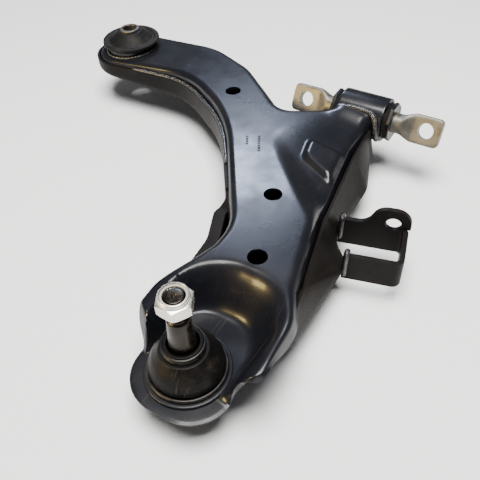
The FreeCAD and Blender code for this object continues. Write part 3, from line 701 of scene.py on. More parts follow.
def finish_surface(nodes, shader, colour, roughness, height, distance, strength=1.0):
    """Link a surface's colour, roughness and bump."""
    nodes.tree.links.new(colour, shader.inputs["Base Color"])
    nodes.tree.links.new(roughness, shader.inputs["Roughness"])
    bump = nodes.add("ShaderNodeBump", {"Height": height, "Distance": distance, "Strength": strength})
    nodes.tree.links.new(bump.outputs["Normal"], shader.inputs["Normal"])


def material(maker):
    """A shared material, made the first time it is asked for."""
    name = "finish_" + maker.__name__
    return bpy.data.materials.get(name) or maker(name)


# ---------------------------------------------------------------------------------------
# Materials
# ---------------------------------------------------------------------------------------
def black_coat(name):
    """Electro-dipped black coat on pressed steel: gloss, faint swell, scratches, thin dust."""
    props = bpy.context.scene.arm_coat
    made, nodes, shader = start_material(
        name, IOR=1.42, Coat_Roughness=0.12, Coat_IOR=1.4)
    grain = use_group(nodes, grain_group, {"Broad": 45.0, "Fine": 1400.0, "Fine share": 0.1})
    scratch = use_group(nodes, scratch_group, {"Density": 0.28})
    dust = use_group(nodes, dust_group, {"Amount": 0.05, "Size": 24.0, "Base": (*props.coat, 1),
                                         "Dust": (*props.dust, 1)})
    colour = nodes.mix(scratch.outputs["Mask"], dust.outputs["Color"], (0.09, 0.085, 0.08))
    cloud = nodes.noise(nodes.add("ShaderNodeTexCoord").outputs["Object"], 30.0, 4.0)
    rough = nodes.ramp(cloud, 0.3, 0.75, props.roughness - 0.05, props.roughness + 0.09)
    rough = nodes.math("ADD", rough, nodes.math("MULTIPLY", scratch.outputs["Mask"], 0.25))
    facing = nodes.add("ShaderNodeLayerWeight", {"Blend": 0.5}).outputs["Facing"]
    front = nodes.ramp(facing, 0.5, 0.85, 1.0, 0.12)
    coat = nodes.math("MULTIPLY", nodes.ramp(cloud, 0.35, 0.7, 0.32, 0.1), front)
    nodes.tree.links.new(coat, shader.inputs["Coat Weight"])
    nodes.tree.links.new(nodes.math("MULTIPLY", front, 0.25), shader.inputs["Specular IOR Level"])
    finish_surface(nodes, shader, colour, rough, grain.outputs["Height"], 0.00022, 0.55)
    return made


def tray_coat(name):
    """The same coat on the lower pressing and the strap: thin, dull and a little dusty."""
    props = bpy.context.scene.arm_coat
    made, nodes, shader = start_material(name, IOR=1.42, Specular_IOR_Level=0.08)
    grain = use_group(nodes, grain_group, {"Broad": 60.0, "Fine": 1400.0, "Fine share": 0.3})
    dust = use_group(nodes, dust_group, {"Amount": 0.07, "Size": 30.0, "Base": (0.008, 0.007, 0.0065, 1),
                                         "Dust": (*props.dust, 1)})
    rough = nodes.ramp(grain.outputs["Value"], 0.3, 0.7, 0.4, 0.56)
    finish_surface(nodes, shader, dust.outputs["Color"], rough, grain.outputs["Height"], 0.0003, 0.6)
    return made


def weld_coat(name):
    """Coat over a weld: bumpier, with brown heat staining."""
    props = bpy.context.scene.arm_coat
    made, nodes, shader = start_material(name, IOR=1.55, Coat_Roughness=0.1, Metallic=0.15)
    grain = use_group(nodes, grain_group, {"Broad": 420.0, "Fine": 1800.0, "Fine share": 0.5})
    dust = use_group(nodes, dust_group, {"Amount": 0.35, "Size": 160.0, "Base": (*props.coat, 1),
                                         "Dust": (0.07, 0.04, 0.018, 1)})
    rough = nodes.ramp(grain.outputs["Value"], 0.3, 0.7, 0.2, 0.4)
    nodes.tree.links.new(nodes.ramp(grain.outputs["Value"], 0.3, 0.7, 0.3, 0.8), shader.inputs["Coat Weight"])
    finish_surface(nodes, shader, dust.outputs["Color"], rough, grain.outputs["Height"], 0.0009)
    return made


def bush_rubber(name):
    """Matt black rubber with a fine moulded grain and a little dust."""
    props = bpy.context.scene.arm_coat
    made, nodes, shader = start_material(name, IOR=1.45, Specular_IOR_Level=0.12)
    grain = use_group(nodes, grain_group, {"Broad": 160.0, "Fine": 1500.0, "Fine share": 0.6})
    dust = use_group(nodes, dust_group, {"Amount": 0.16, "Size": 70.0, "Base": (0.006, 0.006, 0.006, 1),
                                         "Dust": (*props.dust, 1)})
    rough = nodes.ramp(grain.outputs["Value"], 0.3, 0.7, 0.48, 0.66)
    finish_surface(nodes, shader, dust.outputs["Color"], rough, grain.outputs["Height"], 0.0003, 0.7)
    return made


def boot_skin(name):
    """Soft boot rubber with dusty rubbed patches."""
    props = bpy.context.scene.arm_coat
    made, nodes, shader = start_material(name, IOR=1.45, Specular_IOR_Level=0.1)
    grain = use_group(nodes, grain_group, {"Broad": 90.0, "Fine": 1300.0, "Fine share": 0.5})
    dust = use_group(nodes, dust_group, {"Amount": 0.2, "Size": 42.0, "Base": (0.004, 0.0038, 0.0038, 1),
                                         "Dust": (*props.dust, 1)})
    scratch = use_group(nodes, scratch_group, {"Density": 0.4})
    colour = nodes.mix(scratch.outputs["Mask"], dust.outputs["Color"], (0.13, 0.115, 0.1))
    rough = nodes.ramp(dust.outputs["Mask"], 0.0, 0.3, 0.42, 0.66)
    finish_surface(nodes, shader, colour, rough, grain.outputs["Height"], 0.00035, 0.7)
    return made


def metal(name, dark, light, stain, rough_low, rough_high, broad, grain_depth, metallic=0.9):
    """Bare or plated metal with mottled colour, staining and a fine grain."""
    made, nodes, shader = start_material(name, IOR=1.5, Metallic=metallic)
    grain = use_group(nodes, grain_group, {"Broad": broad * 3, "Fine": 1600.0, "Fine share": 0.6})
    place = nodes.add("ShaderNodeTexCoord").outputs["Object"]
    mottle = nodes.ramp(nodes.noise(place, broad, 5.0, 0.62), 0.3, 0.7)
    spots = nodes.ramp(nodes.noise(place, broad * 4, 4.0, 0.7), 0.55, 0.72)
    colour = nodes.mix(mottle, dark, light)
    colour = nodes.mix(nodes.math("MULTIPLY", spots, 0.6), colour, stain)
    rough = nodes.ramp(mottle, 0.0, 1.0, rough_low, rough_high)
    finish_surface(nodes, shader, colour, rough, grain.outputs["Height"], grain_depth, 0.7)
    return made


def dull_zinc(name):
    """Dull zinc on the forged bar, greyish beige."""
    return metal(name, (0.1, 0.095, 0.081), (0.19, 0.182, 0.158), (0.07, 0.06, 0.044),
                 rough_low=0.38, rough_high=0.54, broad=60.0, grain_depth=0.0003, metallic=0.72)


def bright_zinc(name):
    """Bright zinc on the lock nut, with a faint yellow cast."""
    return metal(name, (0.56, 0.55, 0.49), (0.78, 0.77, 0.72), (0.6, 0.54, 0.36),
                 rough_low=0.22, rough_high=0.34, broad=80.0, grain_depth=0.00012, metallic=0.88)


def stud_steel(name):
    """Oiled brownish steel of the stud."""
    return metal(name, (0.008, 0.006, 0.004), (0.02, 0.015, 0.009), (0.055, 0.036, 0.012),
                 rough_low=0.2, rough_high=0.36, broad=110.0, grain_depth=0.00015, metallic=0.6)


def sleeve_steel(name):
    """Grey-brown steel of the inner sleeve."""
    return metal(name, (0.06, 0.055, 0.047), (0.12, 0.11, 0.095), (0.05, 0.04, 0.028),
                 rough_low=0.4, rough_high=0.55, broad=90.0, grain_depth=0.0002)


def ring_steel(name):
    """Dark spring steel of the boot's rings."""
    return metal(name, (0.01, 0.0095, 0.009), (0.024, 0.022, 0.02), (0.02, 0.014, 0.008),
                 rough_low=0.34, rough_high=0.46, broad=120.0, grain_depth=0.0001, metallic=0.7)


def lock_plastic(name):
    """Greyish plastic of the nut's locking ring."""
    made, nodes, shader = start_material(name, IOR=1.5)
    grain = use_group(nodes, grain_group, {"Broad": 300.0, "Fine": 1500.0, "Fine share": 0.4})
    colour = nodes.mix(grain.outputs["Value"], (0.3, 0.28, 0.24), (0.42, 0.4, 0.35))
    rough = nodes.ramp(grain.outputs["Value"], 0.3, 0.7, 0.4, 0.55)
    finish_surface(nodes, shader, colour, rough, grain.outputs["Height"], 0.0001, 0.6)
    return made


def studio_floor(name):
    """Plain pale floor."""
    props = bpy.context.scene.arm_stage
    made, nodes, shader = start_material(name, Specular_IOR_Level=0.1)
    grain = use_group(nodes, grain_group, {"Broad": 5.0, "Fine": 400.0, "Fine share": 0.1})
    tint = tuple(c * 0.985 for c in props.floor_colour)
    colour = nodes.mix(grain.outputs["Value"], props.floor_colour, tint)
    rough = nodes.ramp(grain.outputs["Value"], 0.3, 0.7, 0.78, 0.86)
    finish_surface(nodes, shader, colour, rough, grain.outputs["Height"], 0.0001, 0.1)
    return made


# ---------------------------------------------------------------------------------------
# Pressed shells
# ---------------------------------------------------------------------------------------
class ARM_OT_upper_shell(bpy.types.Operator):
    """Press the upper shell: deck, rolled edge, front leg, recess and dish in one sheet."""

    bl_idname = "arm.upper_shell"
    bl_label = "Upper Shell"

    lean: bpy.props.FloatProperty(name="Lean", description="Draft of the flange in mm", default=1.6)
    roll_steps: bpy.props.IntProperty(name="Roll steps", description="Rings round the rolled edge",
                                      default=7, min=3)

    def rim_rows(self, props):
        """Outward distance and drop of each ring of the rolled edge and its flange."""
        turns = [math.pi / 2 * step / self.roll_steps for step in range(1, self.roll_steps + 1)]
        rows = [(props.roll * math.sin(turn), props.roll * (1 - math.cos(turn))) for turn in turns]
        wall = DECK_Z - FLANGE_Z - props.roll
        return rows + [(props.roll + self.lean * part, props.roll + wall * part) for part in (0.33, 0.67, 1)]

    def rim_place(self, spot, drop, props):
        """A rim point: level at the dish and the front tube, rolled down elsewhere."""
        top = deck_height(*spot, props)
        share = soft_high(top - FLANGE_Z, 2.2, 4.0) / (DECK_Z - FLANGE_Z)
        if spot[1] > 250:
            share *= smooth_step(spot[0], 17, 26)
        wing = (228, 262) if spot[1] < BALL_AXIS.y else (262, 290)
        share *= 1 - 0.72 * smooth_step(spot[0], *wing)
        return spot[0], spot[1], top - drop * share

    def execute(self, context):
        props = context.scene.arm_pressing
        inset = props.roll + self.lean
        counts = loop_counts(UPPER_PLAN, props.cell)
        holes = [(x, y, DECK_HOLE_R) for x, y in DECK_HOLES]
        holes.append((REAR_AXIS.x, REAR_AXIS.y, COLLAR_R + 0.2))
        holes.append((BALL_AXIS.x, BALL_AXIS.y, HOUSE_R + 0.2))
        bm, verts = flat_sheet(loop_points(grow(UPPER_PLAN, -inset), counts), holes, props.cell)
        for vert in bm.verts:
            vert.co.z = deck_height(vert.co.x, vert.co.y, props)
        for outward, drop in self.rim_rows(props):
            ring = loop_points(grow(UPPER_PLAN, outward - inset), counts)
            verts = push_rim(bm, verts, [self.rim_place(spot, drop, props) for spot in ring])
        face_way(bm, up=True)
        shell = make_piece("upper_pressing", bm, "arm", material(black_coat), ["upper_shell"])
        add_wall(shell, props.sheet)
        return {"FINISHED"}


class ARM_OT_lower_shell(bpy.types.Operator):
    """Press the lower shell: a tray with a rounded foot and a sloping floor."""

    bl_idname = "arm.lower_shell"
    bl_label = "Lower Shell"

    foot_roll: bpy.props.FloatProperty(name="Foot roll", description="Radius at the tray's foot in mm",
                                       default=4.4)
    slope: bpy.props.FloatProperty(name="Floor slope", description="Rise of the floor to the rear",
                                   default=math.radians(4), subtype="ANGLE")
    lobe_drop: bpy.props.FloatProperty(
        name="Lobe drop", description="How much lower the lip is on the outboard lobe in mm", default=8.5)

    lobe_shelf: bpy.props.FloatProperty(
        name="Lobe shelf", description="How far the lobe's lip turns in under the deck in mm", default=10.0)

    def floor_height(self, y):
        """Level outboard, rising to the rear."""
        return FLOOR_Z + math.tan(self.slope) * soft_high(200 - y, 0, 40)

    def lobe(self, x, y):
        """1 on the outboard lobe, 0 elsewhere."""
        return smooth_step(x, 152, 168) * smooth_step(-y, -262, -250)

    def lip_height(self, x, y, props):
        """The tray's lip: under the deck's edge, lower on the outboard lobe and under the dish."""
        low = smooth_step(x, 287, 301)
        lip = (LIP_Z - self.lobe_drop * self.lobe(x, y)) * (1 - low) + (DISH_Z - 3.1) * low
        return min(lip, deck_height(x, y, props) - props.sheet - 0.5)

    def execute(self, context):
        props = context.scene.arm_pressing
        counts = loop_counts(LOWER_PLAN, props.cell * 1.15)
        inner = loop_points(grow(LOWER_PLAN, -self.foot_roll), counts)
        holes = [(BALL_AXIS.x, BALL_AXIS.y, HOUSE_R + 0.2), (REAR_AXIS.x, REAR_AXIS.y, COLLAR_R + 0.2),
                 DRAIN_HOLE]
        bm, verts = flat_sheet(inner, holes, props.cell * 1.3)
        for vert in bm.verts:
            vert.co.z = self.floor_height(vert.co.y)
        for step in range(1, 6):
            turn = math.pi / 2 * step / 5
            out = self.foot_roll * (math.sin(turn) - 1)
            rise = self.foot_roll * (1 - math.cos(turn))
            ring = loop_points(grow(LOWER_PLAN, out), counts)
            verts = push_rim(bm, verts, [(x, y, self.floor_height(y) + rise) for x, y in ring])
        ring = [v.co.copy() for v in verts]
        mouth = loop_points(LIP_PLAN, counts)
        for part in (0.2, 0.4, 0.6, 0.8, 0.9, 1):
            places = []
            for low, end in zip(ring, mouth):
                lip = max(self.lip_height(*end, props), low.z + 0.4)
                places.append(low.lerp(Vector((*end, lip)), part))
            verts = push_rim(bm, verts, places)
        shelf = []
        for vert, end in zip(verts, loop_points(grow(LIP_PLAN, -self.lobe_shelf), counts)):
            share = self.lobe(vert.co.x, vert.co.y) * (1 - smooth_step(vert.co.x, 262, 285))
            shelf.append(vert.co.lerp(Vector((*end, vert.co.z + 1.5)), share))
        push_rim(bm, verts, shelf)
        bmesh.ops.remove_doubles(bm, verts=bm.verts, dist=0.01)
        face_way(bm, up=False)
        shell = make_piece("lower_pressing", bm, "arm", material(tray_coat), ["lower_shell"])
        add_wall(shell, props.sheet)
        return {"FINISHED"}


class ARM_OT_marks(bpy.types.Operator):
    """Add plain forming pips on the deck and the small dimple near the rear bush."""

    bl_idname = "arm.marks"
    bl_label = "Forming Pips"

    pitch: bpy.props.FloatProperty(name="Pitch", description="Distance between pips in mm", default=3.4)
    pip_radius: bpy.props.FloatProperty(name="Radius", description="Radius of a pip in mm", default=1.3)

    def execute(self, context):
        props = context.scene.arm_pressing
        bm = bmesh.new()
        way = Vector((0.87, 0.49))
        for start, count in ((MARK_PLACE, 7), (MARK_SIDE, 4), (DIMPLE, 1)):
            for index in range(count):
                x, y = Vector(start) + way * index * self.pitch
                place = Matrix.Translation((x, y, deck_height(x, y, props) - 0.1))
                bmesh.ops.create_uvsphere(bm, u_segments=20, v_segments=10, radius=self.pip_radius,
                                          matrix=place @ Matrix.Diagonal((1, 1, 0.5, 1)))
        make_piece("forming_pips", bm, "arm", material(black_coat))
        return {"FINISHED"}


# ---------------------------------------------------------------------------------------
# Welds
# ---------------------------------------------------------------------------------------
def along(corner_points, spacing=0.55):
    """Points at even spacing along a smooth line through the given ones."""
    points = [Vector(p) for p in corner_points]
    full = [2 * points[0] - points[1]] + points + [2 * points[-1] - points[-2]]
    line = []
    for a, b, c, d in zip(full, full[1:], full[2:], full[3:]):
        steps = max(2, round((c - b).length / spacing))
        for step in range(steps):
            t = step / steps
            line.append(0.5 * (2 * b + (c - a) * t + (2 * a - 5 * b + 4 * c - d) * t * t
                               + (3 * b - a - 3 * c + d) * t ** 3))
    return line + [points[-1]]


class ARM_OT_welds(bpy.types.Operator):
    """Lay the weld beads: seams, rear collar, front tube and link strap."""

    bl_idname = "arm.welds"
    bl_label = "Weld Beads"

    def seam(self, outboard):
        """Points on the tray's lip along one side of the rear limb."""
        ring = loop_points(grow(LIP_PLAN, -2.4), loop_counts(LIP_PLAN, 0.7))
        chosen = [Vector((x, y, LIP_Z + 0.7)) for x, y in ring
                  if 24 < y < 203 and (x > 10 + 0.35 * max(y - 60, 0)) == outboard]
        return sorted(chosen, key=lambda p: p.y)

    def collar(self, props):
        """Points round the collar at the deck's height."""
        radius = COLLAR_R + 0.7
        spots = [(radius * math.cos(a), radius * math.sin(a)) for a in np.linspace(-1.1, 4.4, 330)]
        return [Vector((x, y, deck_height(x, y, props) + 0.6)) for x, y in spots]

    def tube(self):
        """Points round the end of the front leg on the tube's skin."""
        route = [(-42, 259), (-10, 259), (24, 260), (39, 264), (43, 276), (40, 288), (26, 294),
                 (-8, 297), (-40, 298)]
        radius = TUBE_R + 0.5
        return [(radius * math.cos(math.radians(a)), y, radius * math.sin(math.radians(a)))
                for a, y in route]

    def strap(self, side):
        """Points up one side of a leg's root, over its top and down the other side."""
        x = side * STRAP_HALF
        y = STRAP_ROOTS[side]
        inner = x - side * STRAP_SHEET
        route = [(x + side * 0.8, y, -32), (x + side * 1.1, y + 0.4, -18), (x + side * 0.6, y + 0.6, -10.5),
                 ((x + inner) / 2, y + 0.6, -9.2), (inner - side * 0.6, y + 0.6, -10.5),
                 (inner - side * 1.1, y + 0.4, -18), (inner - side * 0.8, y, -30)]
        return [STRAP_PLACE @ Vector(p) for p in route]

    def execute(self, context):
        props = context.scene.arm_pressing
        weld = material(weld_coat)
        jobs = [
            ("seam_bead_outboard", self.seam(True), 1.9, ["seam_weld_outboard"]),
            ("seam_bead_inboard", self.seam(False), 1.9, ["seam_weld_inboard"]),
            ("collar_bead", self.collar(props), 1.9, ["rear_collar_weld"]),
            ("tube_bead", along(self.tube()), 2.9, ["front_tube_weld"]),
            ("strap_bead_outboard", along(self.strap(1)), 2.3, ["strap_weld_outboard"]),
            ("strap_bead_inboard", along(self.strap(-1)), 2.3, ["strap_weld_inboard"]),
        ]
        for name, places, radius, replaced in jobs:
            make_piece(name, bead_mesh(name, places, radius), "arm", weld, replaced)
        return {"FINISHED"}


# ---------------------------------------------------------------------------------------
# Rear bush
# ---------------------------------------------------------------------------------------
class ARM_OT_rear_bush(bpy.types.Operator):
    """Turn the rear bush: collar, rubber in two halves and the inner sleeve."""

    bl_idname = "arm.rear_bush"
    bl_label = "Rear Bush"

    def execute(self, context):
        low, high = node_box("rear_bush_collar")
        collar = rounded([(23.7, low.z, 0.7), (COLLAR_R, low.z, 0.9), (COLLAR_R, high.z, 0.9),
                          (23.7, high.z, 0.7)])
        make_piece("bush_collar", spun(collar, REAR_AXIS * 0), "arm", material(black_coat),
                   ["rear_bush_collar"])
        rubber = material(bush_rubber)
        upper = rounded([
            (10.55, 2, 0.2), (22.0, 2, 0.2), (22.0, 12.1, 0.2), (29.6, 12.1, 1.2), (31.0, 13.6, 1.0),
            (31.0, 16.6, 1.3), (26.4, 16.6, 1.4), (24.8, 14.9, 1.6), (15.0, 23.4, 2.2), (13.4, 25.0, 0.8),
            (10.55, 25.0, 0.3)])
        top = make_piece("bush_rubber_top", spun(upper, (0, 0, 0)), None, rubber,
                         ["rear_bush_rubber"])
        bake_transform(top)
        under = rounded([
            (10.55, 2, 0.2), (10.55, -20, 0.3), (14.0, -20, 1.2), (17.0, -14.5, 2.5), (22.0, -12.5, 1.0),
            (22.0, 2, 0.2)])
        bottom = make_piece("bush_rubber_under", spun(under, (0, 0, 0)), None, rubber,
                            ["rear_bush_rubber"])
        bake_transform(bottom)
        half = node_box("rear_bush_sleeve")[1].z
        sleeve = rounded([(6.9, -half, 0.8), (10.5, -half, 0.9), (10.5, half, 0.9), (6.9, half, 0.8)])
        make_piece("bush_sleeve", spun(sleeve, (0, 0, 0), steps=72), "rear_sleeve",
                   material(sleeve_steel), ["rear_bush_sleeve"])
        return {"FINISHED"}


# ---------------------------------------------------------------------------------------
# Front bush and its bar
# ---------------------------------------------------------------------------------------
def section(half_width, half_thick, power, station, count=64):
    """One closed section of the bar: a circle that squares off as the power grows."""
    points = []
    for index in range(count):
        a = 2 * math.pi * index / count
        c = math.cos(a)
        s = math.sin(a)
        across = math.copysign(abs(c) ** (2 / power), c) * half_width
        up = math.copysign(abs(s) ** (2 / power), s) * half_thick
        points.append(Vector((across, station, up)))
    return points


def boolean(bm, cutter, operation):
    """Cut, join or intersect one closed mesh with another."""
    pair = []
    for part in (bm, cutter):
        mesh = bpy.data.meshes.new("work")
        part.to_mesh(mesh)
        part.free()
        pair.append(bpy.data.objects.new("work", mesh))
        bpy.context.scene.collection.objects.link(pair[-1])
    work = pair[0].modifiers.new("work", "BOOLEAN")
    work.operation = operation
    work.object = pair[1]
    work.solver = "EXACT"
    bpy.context.view_layer.update()
    shape = bpy.data.meshes.new_from_object(pair[0].evaluated_get(bpy.context.evaluated_depsgraph_get()))
    for holder in pair:
        mesh = holder.data
        bpy.data.objects.remove(holder)
        bpy.data.meshes.remove(mesh)
    result = bmesh.new()
    result.from_mesh(shape)
    bpy.data.meshes.remove(shape)
    return result


class ARM_OT_front_bar(bpy.types.Operator):
    """Forge the through bar: round in the bush, flattened to an eye at each end."""

    bl_idname = "arm.front_bar"
    bl_label = "Front Bar"

    tilt: bpy.props.FloatProperty(name="Tilt", description="Lean of the eyes' flat faces",
                                  default=math.radians(62), subtype="ANGLE")

    def stations(self):
        """Half width, half thickness, squareness and distance from the middle, to one end."""
        rows = [(9, 9, 2, 0), (9, 9, 2, 30), (9.1, 8.8, 2.05, 35)]
        for step in range(1, 11):
            t = step / 10
            ease = smooth_step(t, 0, 1)
            rows.append((9.1 + 3.9 * ease, 8.8 - 4.3 * ease, 2.05 + 5 * ease, 35 + 14 * t))
        rows += [(13, 4.5, 8, 56), (13, 4.5, 8, 66)]
        end = node_box("front_bush_bar")[1].y - FRONT_AXIS.y
        for step in range(1, 8):
            turn = math.pi / 2 * step / 7
            rows.append((13 - 4 * (1 - math.cos(turn)), 4.5, 8, end - 4 + 4 * math.sin(turn)))
        rows.append((8.6, 4.1, 8, end))
        return rows

    def execute(self, context):
        rows = self.stations()
        full = [(w, h, p, -y) for w, h, p, y in reversed(rows[1:])] + rows
        bm = bmesh.new()
        last = None
        for half_width, half_thick, power, station in full:
            verts = [bm.verts.new(p) for p in section(half_width, half_thick, power, station)]
            edges = [bm.edges.new((verts[i - 1], verts[i])) for i in range(len(verts))]
            if last:
                bmesh.ops.bridge_loops(bm, edges=last + edges)
            else:
                bmesh.ops.contextual_create(bm, geom=edges)
            last = edges
        bmesh.ops.contextual_create(bm, geom=last)
        bmesh.ops.recalc_face_normals(bm, faces=bm.faces)
        for side in (-1, 1):
            drill = spun([(0, -20), (6.6 + 0.5, -20), (6.6 + 0.5, 20), (0, 20)], (0, 0, 0), steps=56)
            bmesh.ops.translate(drill, vec=(0, side * EYE_PITCH / 2, 0), verts=drill.verts)
            bm = boolean(bm, drill, "DIFFERENCE")
        turn = Matrix.Translation((0, FRONT_AXIS.y, 0)) @ Matrix.Rotation(self.tilt, 4, "Y")
        bmesh.ops.transform(bm, matrix=turn, verts=bm.verts)
        bar = make_piece("pivot_bar", bm, "front_bar", material(dull_zinc), ["front_bush_bar"])
        soften(bar, 0.5)
        return {"FINISHED"}


class ARM_OT_front_bush(bpy.types.Operator):
    """Turn the front bush: tube, rubber, ribbed seals and eight-sided end plates."""

    bl_idname = "arm.front_bush"
    bl_label = "Front Bush"

    def ring(self, name, corners, body, slot, finish, replaced):
        """One turned ring on the bar's axis."""
        centre = (0, FRONT_AXIS.y, 0)
        make_piece(name, spun(rounded(corners), centre, lying=True), body, finish, [replaced])

    def execute(self, context):
        half = TUBE_HALF
        self.ring("bush_tube", [(17.2, -half, 0.5), (TUBE_R, -half, 0.9), (TUBE_R, half, 0.9),
                                (17.2, half, 0.5)], "arm", "e_coat", material(black_coat), "front_bush_tube")
        self.ring("bush_core_rubber", [(9.05, -19.5, 0.5), (14.0, -20.0, 1.2), (15.75, -18.8, 0.6),
                                       (15.75, 18.8, 0.6), (14.0, 20.0, 1.2), (9.05, 19.5, 0.5)],
                  "arm", "rubber", material(bush_rubber), "front_bush_rubber")
        for word, side in (("forward", 1), ("rearward", -1)):
            node = "front_seal_" + word
            low, high = node_box(node)
            near, far = sorted((low.y - FRONT_AXIS.y, high.y - FRONT_AXIS.y))
            middle = (near + far) / 2
            corners = [(9, near, 0.1), (16.4, near, 0.5), (16.8, near + 0.8, 0.4), (16.4, near + 1.4, 0.2),
                       (15.6, middle, 0.4), (16.4, far - 1.4, 0.2), (16.8, far - 0.8, 0.4), (16.4, far, 0.5),
                       (9, far, 0.1)]
            self.ring("seal_" + word, corners, "front_bar", "rubber", material(bush_rubber), node)
            self.plate(word, side)
        return {"FINISHED"}

    def plate(self, word, side):
        """One eight-sided plate against its seal."""
        node = "front_plate_" + word
        low, high = node_box(node)
        turns = [math.radians(22.5 + 45 * i) for i in range(8)]
        corners = [(PLATE_R * math.cos(a), PLATE_R * math.sin(a), 1.2) for a in turns]
        bm, verts = flat_sheet(loop_points(corners, loop_counts(corners, 1.5)), [(0, 0, 9.02)], 1.6)
        face_way(bm, up=True)
        bmesh.ops.transform(bm, matrix=Matrix.Rotation(math.pi / 2, 4, "X"), verts=bm.verts)
        bmesh.ops.translate(bm, vec=(0, low.y, 0), verts=bm.verts)
        plate = make_piece("plate_" + word, bm, "front_bar", material(ring_steel), [node])
        add_wall(plate, high.y - low.y, 0.5)


# ---------------------------------------------------------------------------------------
# Link strap
# ---------------------------------------------------------------------------------------
class ARM_OT_link_strap(bpy.types.Operator):
    """Bend the link strap: an inboard leg with a raised lug, a cross bar and an outboard leg."""

    bl_idname = "arm.link_strap"
    bl_label = "Link Strap"

    bend: bpy.props.FloatProperty(name="Bend", description="Outer radius of the bends in mm", default=7.0)

    def execute(self, context):
        turn_y = STRAP_REACH - self.bend
        lug = LUG
        corners = [
            (STRAP_ROOTS[-1] - 2, STRAP_LOW, 0.6), (turn_y, STRAP_LOW, 0.3), (turn_y, STRAP_TOP - 0.6, 0.6),
            (lug[0] + lug[2], STRAP_TOP - 0.6, 0.8), (lug[0] + lug[2], lug[1] + lug[2], lug[2] - 0.8),
            (lug[0] - lug[2] + 1, lug[1] + lug[2], lug[2] - 1.5), (lug[0] - lug[2] - 7, STRAP_TOP, 12),
            (STRAP_ROOTS[-1] - 2, STRAP_TOP, 0.6)]
        ring = loop_points(corners, loop_counts(corners, 1.3))
        bm, verts = flat_sheet(ring, [(lug[0], lug[1], LUG_HOLE_R)], 1.8)
        face_way(bm, up=True)
        upright = Matrix(((0, 0, -1, -STRAP_HALF), (1, 0, 0, 0), (0, 1, 0, 0), (0, 0, 0, 1)))
        bmesh.ops.transform(bm, matrix=upright, verts=bm.verts)
        front = [e for e in bm.edges if e.is_boundary and all(
            abs(v.co.y - turn_y) < 0.05 and v.co.z < STRAP_TOP for v in e.verts)]
        inner = STRAP_HALF - self.bend
        front = self.bent(bm, front, (-inner, turn_y, 0))
        front = self.run(bm, front, (2 * inner, 0, 0))
        front = self.bent(bm, front, (inner, turn_y, 0))
        self.run(bm, front, (0, STRAP_ROOTS[1] - 2 - turn_y, 0))
        bmesh.ops.recalc_face_normals(bm, faces=bm.faces)
        tip = max(bm.faces, key=lambda f: f.calc_center_median().y)
        if tip.normal.y < 0:
            bmesh.ops.reverse_faces(bm, faces=bm.faces)
        bmesh.ops.transform(bm, matrix=STRAP_PLACE, verts=bm.verts)
        strap = make_piece("link_bracket", bm, "arm", material(tray_coat), ["link_strap"])
        add_wall(strap, STRAP_SHEET, 0.8)
        return {"FINISHED"}

    def bent(self, bm, edges, centre):
        """Carry the open end round a quarter bend."""
        made = bmesh.ops.spin(bm, geom=edges, cent=centre, axis=(0, 0, 1), angle=-math.pi / 2, steps=9,
                              use_duplicate=False)
        return [g for g in made["geom_last"] if isinstance(g, bmesh.types.BMEdge)]

    def run(self, bm, edges, way):
        """Carry the open end straight on."""
        made = bmesh.ops.extrude_edge_only(bm, edges=edges)["geom"]
        bmesh.ops.translate(bm, vec=way, verts=[g for g in made if isinstance(g, bmesh.types.BMVert)])
        return [g for g in made if isinstance(g, bmesh.types.BMEdge)]


# ---------------------------------------------------------------------------------------
# Ball joint
# ---------------------------------------------------------------------------------------
class ARM_OT_housing(bpy.types.Operator):
    """Turn the ball joint's housing and the plate rolled into its lower end."""

    bl_idname = "arm.housing"
    bl_label = "Ball Joint Housing"

    def execute(self, context):
        low, high = node_box("ball_joint_housing")
        centre = (BALL_AXIS.x, BALL_AXIS.y, 0)
        corners = [
            (17.0, -26, 0.4), (19.0, high.z, 0.5), (30.0, high.z, 0.9), (30.0, DISH_Z, 0.6),
            (HOUSE_R, DISH_Z, 0.3), (HOUSE_R, -44, 2), (23.2, -45.5, 2), (23.2, -50.5, 2),
            (21.9, low.z, 0.9), (20.2, low.z, 0.4), (20.2, -50.02, 0.3), (19.05, -50.02, 0.2),
            (19.05, -26, 0.3)]
        coat = material(black_coat)
        make_piece("joint_cup", spun(rounded(corners), centre), "arm", coat, ["ball_joint_housing"])
        cover = rounded([(0.01, -52.2, 0.001), (8, -52.2, 3), (10, -51.2, 2), (18.2, -51.2, 1.5),
                         (20.1, -52.4, 0.4), (20.1, -50.1, 0.3), (0.01, -50.1, 0.001)])
        make_piece("joint_cap", spun(cover, centre), "arm", coat, ["ball_joint_cover"])
        return {"FINISHED"}


